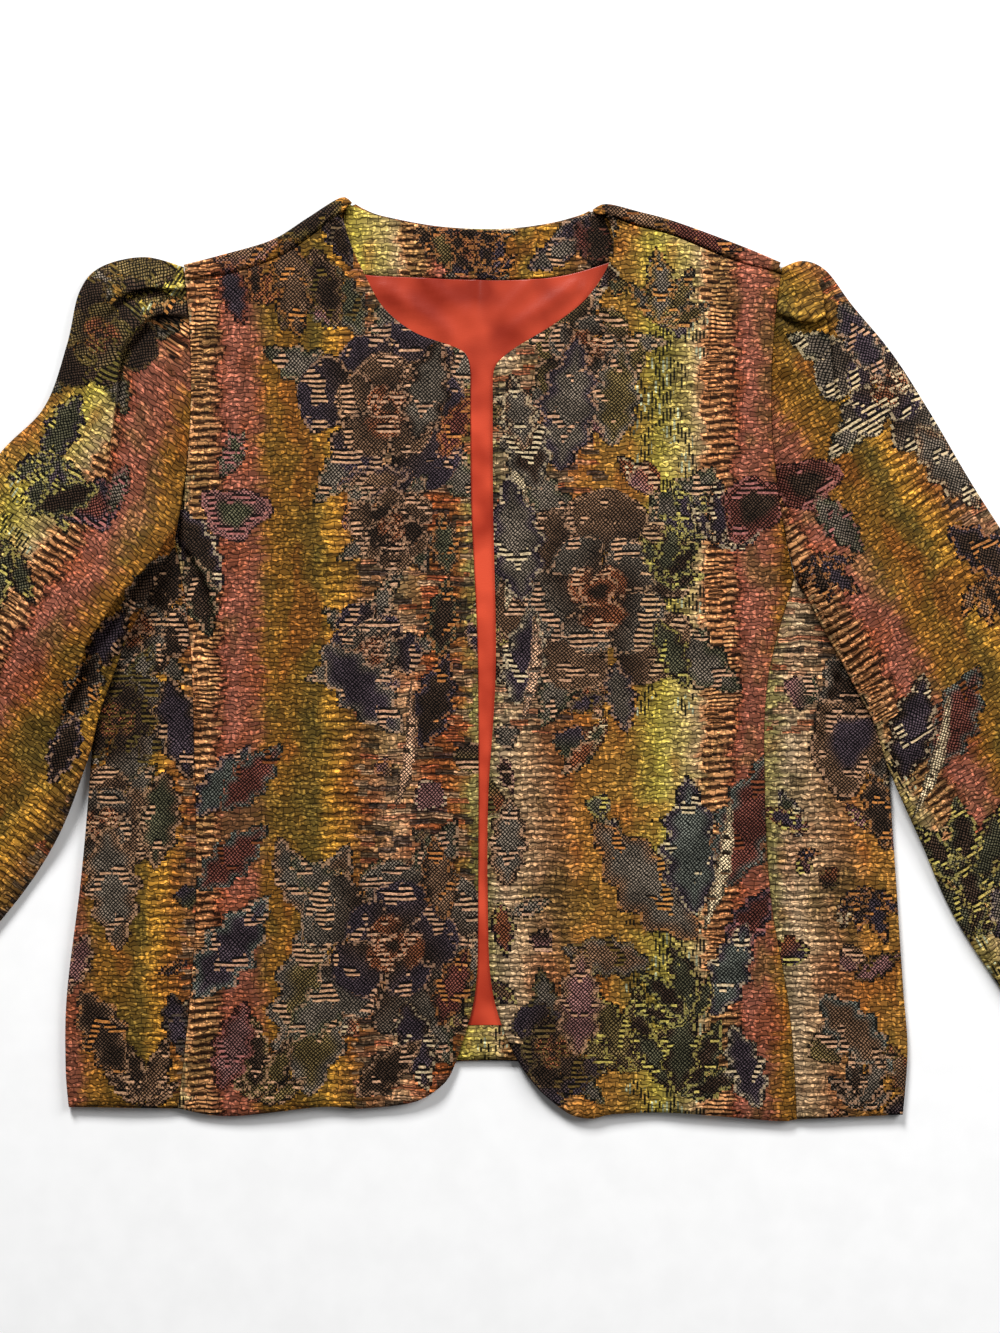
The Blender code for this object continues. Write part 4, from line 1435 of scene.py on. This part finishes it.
def back(look):
    """Back panel on the ground, with the strips that roll over the shoulders to the forward seams."""
    shoulders, tops = {}, {}
    for side in SIDES:
        rows = along(SHOULDER[side], even(SHOULDER_COLUMNS))
        shoulders[side] = rows
        tops[side] = FRONT_TOP + front_lift(rows[:, 2], rows[:, 3])
    neck = along(BACK_NECK, even(NECK_COLUMNS))[1:-1]
    columns = 2 * SHOULDER_COLUMNS + NECK_COLUMNS
    strip_rows = []
    for step in range(FOLD_STEPS + 1):
        strip_rows.append(strip_row(shoulders, tops, neck, -pi / 2 + pi * step / FOLD_STEPS))
    strip_rows.extend(strip_to_seam(shoulders, tops, neck, strip_rows[-1]))
    head = strip_rows[0][:, :2]
    sides = {}
    for side in SIDES:
        seam = along(BACK_SEAM[side], even(SEAM_ROWS))
        end_y = head[0 if side == "left" else -1, 1]
        shares = min(1, armhole_share(side, seam[-1, 1])), armhole_share(side, end_y)
        upper = armhole(side, np.linspace(*shares, ARMHOLE_ROWS + 1))
        edge = np.vstack([seam, upper[1:]])[::BACK_STRIDE]
        edge[:, 0] -= outward(side) * SEAM_GAP / 2
        sides[side] = edge
    foot = along(BACK_HEM, even(columns))
    foot[0], foot[-1] = sides["left"][0], sides["right"][0]
    sides["left"][-1], sides["right"][-1] = head[0], head[-1]
    plane = patch(foot, head, sides["left"], sides["right"], even(columns), even(len(sides["left"]) - 1))
    points = np.concatenate([with_height(plane, 0.0), np.array(strip_rows[1:])])
    kept = np.ones((len(points) - 1, columns), bool)
    kept[len(plane) - 1:, SHOULDER_COLUMNS:-SHOULDER_COLUMNS] = False
    return shell("back", points[:, ::-1], CLOTH, look, kept=kept[:, ::-1])


def across_line(line, toward):
    """Unit directions across a line of points, on the side of the points that they face."""
    way = np.gradient(line, axis=0)
    normal = np.column_stack([-way[:, 1], way[:, 0]]) / np.linalg.norm(way, axis=1)[:, None]
    facing = np.sign(np.sum(normal * (toward - line), axis=1))
    return normal * facing[:, None]


def over_back(ends, neck):
    """Row of points from the left shoulder along the neck edge to the right shoulder."""
    middle = np.column_stack([neck, np.zeros(len(neck))])
    return np.vstack([ends["left"][::-1], middle, ends["right"]])


def strip_row(shoulders, tops, neck, angle):
    """Row of the shoulder fold across the back, from left to right, at an angle of the turn."""
    ends = {}
    for side, rows in shoulders.items():
        fold, seam = rows[:, :2], rows[:, 2:]
        radius = tops[side][:, None] / 2
        plane = fold + across_line(fold, seam) * radius * (1 - cos(angle))
        ends[side] = np.hstack([plane, radius * (1 + sin(angle))])
    return over_back(ends, neck)


def strip_to_seam(shoulders, tops, neck, start):
    """Rows of the strips from the top of the fold to their edges at the forward shoulder seams."""
    ends = {}
    for side, rows in shoulders.items():
        fold, seam = rows[:, :2], rows[:, 2:]
        edge = seam - across_line(seam, 2 * seam - fold) * SEAM_GAP
        ends[side] = np.column_stack([edge, tops[side] + SHOULDER_SEAM * seam_dip(0.0, seam[:, 0])])
    end = over_back(ends, neck)
    flat = end.copy()
    flat[:, 2] = start[:, 2]
    return [start + share * (flat - start) for share in STRIP_SHARES] + [end]


def back_neck_facing(look):
    """Tapestry band on the inside of the back neck."""
    across = even(NECK_COLUMNS)
    head = along([FACING_TIPS[0], *BACK_NECK[1:-1], FACING_TIPS[1]], across)
    head[:, 1] -= NECK_INSET
    plane = band(along(FACING_FOOT, across), head, FACING_ROWS)
    x, y = plane[..., 0], plane[..., 1]
    _, _, to_foot, to_head = distances(plane)
    dip, dip_reach = FACING_DIP
    stitch, stitch_place, stitch_reach = FACING_STITCHES
    full, full_place, full_reach = FACING_FULL
    height = INNER_BASE + CLOTH + FACING_RIPPLE * ripple(x, y) - dip * bell(to_foot, dip_reach)
    height -= stitch * bell(to_head - stitch_place, stitch_reach) * (x < FACING_STITCHES_END)
    points = with_height(plane, height + full * bell(to_head - full_place, full_reach))
    return shell("back_neck_facing", points, CLOTH, look)


def back_lining(look):
    """Satin on the inside of the back, from the neck facing down to the hem turn-up."""
    up = even(LINING_ROWS)
    up = np.r_[0, LINING_RIM, up[1:-1], 1 - LINING_RIM, 1]
    left, right = (along(LINING_EDGE[side], up) for side in SIDES)
    facing = along(FACING_FOOT, even(NECK_COLUMNS)) - (0, SEAM_GAP)
    before = np.linspace(left[-1], facing[0], LINING_SIDE_COLUMNS + 1)[:-1]
    after = np.linspace(facing[-1], right[-1], LINING_SIDE_COLUMNS + 1)[1:]
    head = np.vstack([before, facing, after])
    across = even(len(head) - 1)
    foot = turn_up_edge(HEM_TURN_UP + SEAM_GAP, across)
    left[0], right[0] = foot[0], foot[-1]
    plane = patch(foot, head, left, right, across, up)
    x, y = plane[..., 0], plane[..., 1]
    wave = LINING_RIPPLE * ripple(2 * x, y) + np.clip(crease_lift(LINING_CREASES, x, y), *LINING_FOLDS)
    points = with_height(plane, INNER_BASE + SATIN + wave)
    return shell("back_lining", points, SATIN, look)


def turn_up_edge(depth, shares):
    """Line that follows the back hem at a depth above it."""
    line = along(BACK_HEM[1:-1], shares)
    line[:, 1] += depth
    return line


def back_hem_turn_up(look):
    """Tapestry strip turned up on the inside of the back hem."""
    across = even(NECK_COLUMNS)
    foot, head = turn_up_edge(NECK_INSET, across), turn_up_edge(HEM_TURN_UP, across)
    plane = band(foot, head, HEM_ROWS)
    wave = TURN_UP_RIPPLE * ripple(plane[..., 0], plane[..., 1])
    points = with_height(plane, INNER_BASE + CLOTH + wave)
    return shell("back_hem_turn_up", points, CLOTH, look)


def overlap_lift(side, plane):
    """Height of the sleeve's underside: zero on the ground, raised where it lies over the side panel."""
    out = outward(side)
    edge = along(SIDE_EDGE[side], even(OVERLAP_STEPS))
    order = np.argsort(edge[:, 1])
    beside = out * (plane[:, 0] - np.interp(plane[:, 1], edge[order, 1], edge[order, 0]))
    head, foot = np.array(SIDE_SEAM[side][-1], float), np.array(SIDE_EDGE[side][-1], float)
    slope = (head[1] - foot[1]) / (head[0] - foot[0])
    above = (plane[:, 1] - foot[1] - slope * (plane[:, 0] - foot[0])) / np.hypot(1, slope)
    near = np.clip(1 - np.maximum(beside, above) / OVERLAP_RUN, 0, 1)
    return OVERLAP_LIFT * smooth(near)


def sleeve_folds(side, station, share, length):
    """Height that the gathers and folds add at a section, for shares of the way across it."""
    added = np.zeros(len(share))
    for fold in SLEEVE_FOLDS[side]:
        rows = np.array(fold, float)
        if rows[0, 0] <= station <= rows[-1, 0]:
            line, height, reach = (np.interp(station, rows[:, 0], column) for column in rows.T[1:])
            added += height * bell((share - line) * length, reach)
    return added


def gathers(station, share, length):
    """Small uneven gathers of the sleeve head, which fade a little way from the armhole seam."""
    place = share * length
    fade = bell(station, GATHER_REACH) * np.clip(station / GATHER_START, 0, 1) * bell(share, GATHER_SHARE)
    return fade * (1.2 * np.sin(place / 2.6 + 1.4 * np.sin(place / 11)) + 0.8 * np.sin(place / 5.3 + 1))


def sleeve_ring(side, station, row):
    """Section of a sleeve with a crowned top and a flat underside, each point with its place in the weave."""
    outer, inner, height = row[:2], row[2:4], row[4]
    length = np.linalg.norm(inner - outer)
    way = (inner - outer) / length
    bow = ARMHOLE[side][4] * max(0.0, 1 - station / BOW_FADE) ** 2
    radius = FRONT_TOP / 2
    margin = radius / length

    def plane(share):
        points = outer + share[:, None] * (inner - outer)
        points[:, 0] += 4 * bow * share * (1 - share) + outward(side) * SEAM_GAP / 2
        return points

    share = margin + (1 - 2 * margin) * eased(SLEEVE_TOP_STEPS)
    top = plane(share)
    crown = np.sqrt(np.clip((share - margin) * (1 - margin - share), 0, None)) / (0.5 - margin)
    held = np.minimum(1, EDGE_HOLD * crown)
    rise = (height - FRONT_TOP) * crown + sleeve_folds(side, station, share, length) * held
    tucked, _, lean = tucks("sleeve_" + side, *top.T)
    rise += held * (crease_lift(SLEEVE_CREASES, *top.T) + tucked + ripple(*top.T))
    rise += held * gathers(station, share, length) + seam_dip(SEAM_SPREAD * station, top[:, 1])
    leaning = top + lean * (held * min(1.0, SEAM_HOLD * station))[:, None]
    parts = [np.column_stack([leaning, overlap_lift(side, top) + FRONT_TOP + np.maximum(rise, SLEEVE_LOW)])]
    under = plane(1 - margin - (1 - 2 * margin) * even(SLEEVE_UNDER_STEPS) ** UNDER_EASE)
    floor = np.column_stack([under, overlap_lift(side, under)])
    for centre, lift, turn in ((under[0], floor[0, 2], 1), (under[-1], floor[-1, 2], -1)):
        arc = []
        for number in range(1, FOLD_STEPS):
            angle = pi * number / FOLD_STEPS
            height_here = radius * (1 + turn * cos(angle))
            arc.append((*(centre + turn * way * radius * sin(angle)), lift + height_here))
        parts.append(np.array(arc))
    place = np.vstack([top, parts[1][:, :2], under, parts[2][:, :2]])
    return np.hstack([np.vstack([parts[0], parts[1], floor, parts[2]]), place])


def sleeve_stations(side):
    """Section numbers at which the sleeve is built, evenly along it and closer in the gathered head."""
    at = np.linspace(0, len(SLEEVE[side]) - 1, STATION_POINTS)
    rows = spline(SLEEVE[side], at)
    middle = (rows[:, :2] + rows[:, 2:4]) / 2
    length = np.r_[0, np.cumsum(np.hypot(*np.diff(middle, axis=0).T))]
    step = even(SLEEVE_RINGS)
    return np.interp(length[-1] * ((1 - HEAD_EASE) * step + HEAD_EASE * step ** 2), length, at)


def sleeve(side, look):
    """Set-in sleeve as a flattened tube from the armhole to the open cuff."""
    stations = sleeve_stations(side)
    sections = zip(stations, spline(SLEEVE[side], stations))
    rings = outer_face(side, np.array([sleeve_ring(side, at, row) for at, row in sections]))
    points, place = rings[..., :3], rings[..., 3:]
    return shell("sleeve_" + side, points, CLOTH, look, ring=True, place=place)


# Floor: half its width and its depth below the jacket in metres, scale of its grain and its display greys
FLOOR_HALF = 3.0
FLOOR_DROP = 0.0005
PAPER_SCALE = 40.0
PAPER_TONES = [(0.3, 246.987, 246.987, 246.987), (0.7, 250.463, 250.463, 250.463)]

# Lights: name, place and size in metres, and power in watts; then the strength of the world's light
LIGHTS = [
    ("key_light", (-0.9, 2.9, 2.0), 1.1, 172.0),
    ("fill_light", (1.9, 1.0, 1.6), 1.5, 46.0),
]
WORLD_LIGHT = 0.13

# Photograph's frame: its height on the jacket's plane and its centre, and the camera's height, in metres
FRAME_HEIGHT = 0.8665
FRAME_CENTRE = (0.01975, -0.005)
CAMERA_HEIGHT = 2.4
SENSOR = 36.0


def floor_material():
    """Pale matt paper with a hardly visible grain."""
    made, tree, shader = new_material("pale_floor", *PAPER_GLOSS)
    grain = cloudy(node(tree, "ShaderNodeTexCoord", output="Object"), PAPER_SCALE)
    feed(shader.inputs["Base Color"], ramp(grain, PAPER_TONES))
    return made


def floor():
    """Pale floor that the jacket lies on."""
    corners = [(x * FLOOR_HALF, y * FLOOR_HALF, 0) for x, y in ((-1, -1), (1, -1), (1, 1), (-1, 1))]
    mesh = bpy.data.meshes.new("floor")
    mesh.from_pydata(corners, [], [(0, 1, 2, 3)])
    mesh.materials.append(floor_material())
    made = bpy.data.objects.new("floor", mesh)
    made.location = (0, 0, -FLOOR_DROP)
    bpy.context.collection.objects.link(made)


def area_light(name, place, size, power):
    """Soft square light that points at the jacket."""
    light = bpy.data.lights.new(name, "AREA")
    light.size = size
    light.energy = power
    made = bpy.data.objects.new(name, light)
    made.location = place
    aim = -made.location
    made.rotation_euler = aim.to_track_quat("-Z", "Y").to_euler()
    bpy.context.collection.objects.link(made)


def camera():
    """Camera straight above, framed as the photograph."""
    data = bpy.data.cameras.new("camera")
    data.sensor_width = SENSOR
    data.lens = SENSOR * (CAMERA_HEIGHT - FRONT_TOP * MM) / FRAME_HEIGHT
    made = bpy.data.objects.new("camera", data)
    made.location = (*FRAME_CENTRE, CAMERA_HEIGHT)
    bpy.context.collection.objects.link(made)
    bpy.context.scene.camera = made


def studio():
    """Floor, lights and world."""
    floor()
    for light in LIGHTS:
        area_light(*light)
    world = bpy.data.worlds.new("studio")
    world.use_nodes = True
    background = world.node_tree.nodes["Background"]
    background.inputs["Color"].default_value = (1.0, 1.0, 1.0, 1.0)
    background.inputs["Strength"].default_value = WORLD_LIGHT
    bpy.context.scene.world = world
    bpy.context.scene.view_settings.view_transform = "Standard"


def jacket():
    """All pieces of the jacket."""
    woven, lining = tapestry(), satin()
    back(woven)
    back_neck_facing(woven)
    back_lining(lining)
    back_hem_turn_up(woven)
    for side in SIDES:
        front(side, woven)
        side_panel(side, woven)
        sleeve(side, woven)


camera()
jacket()
studio()
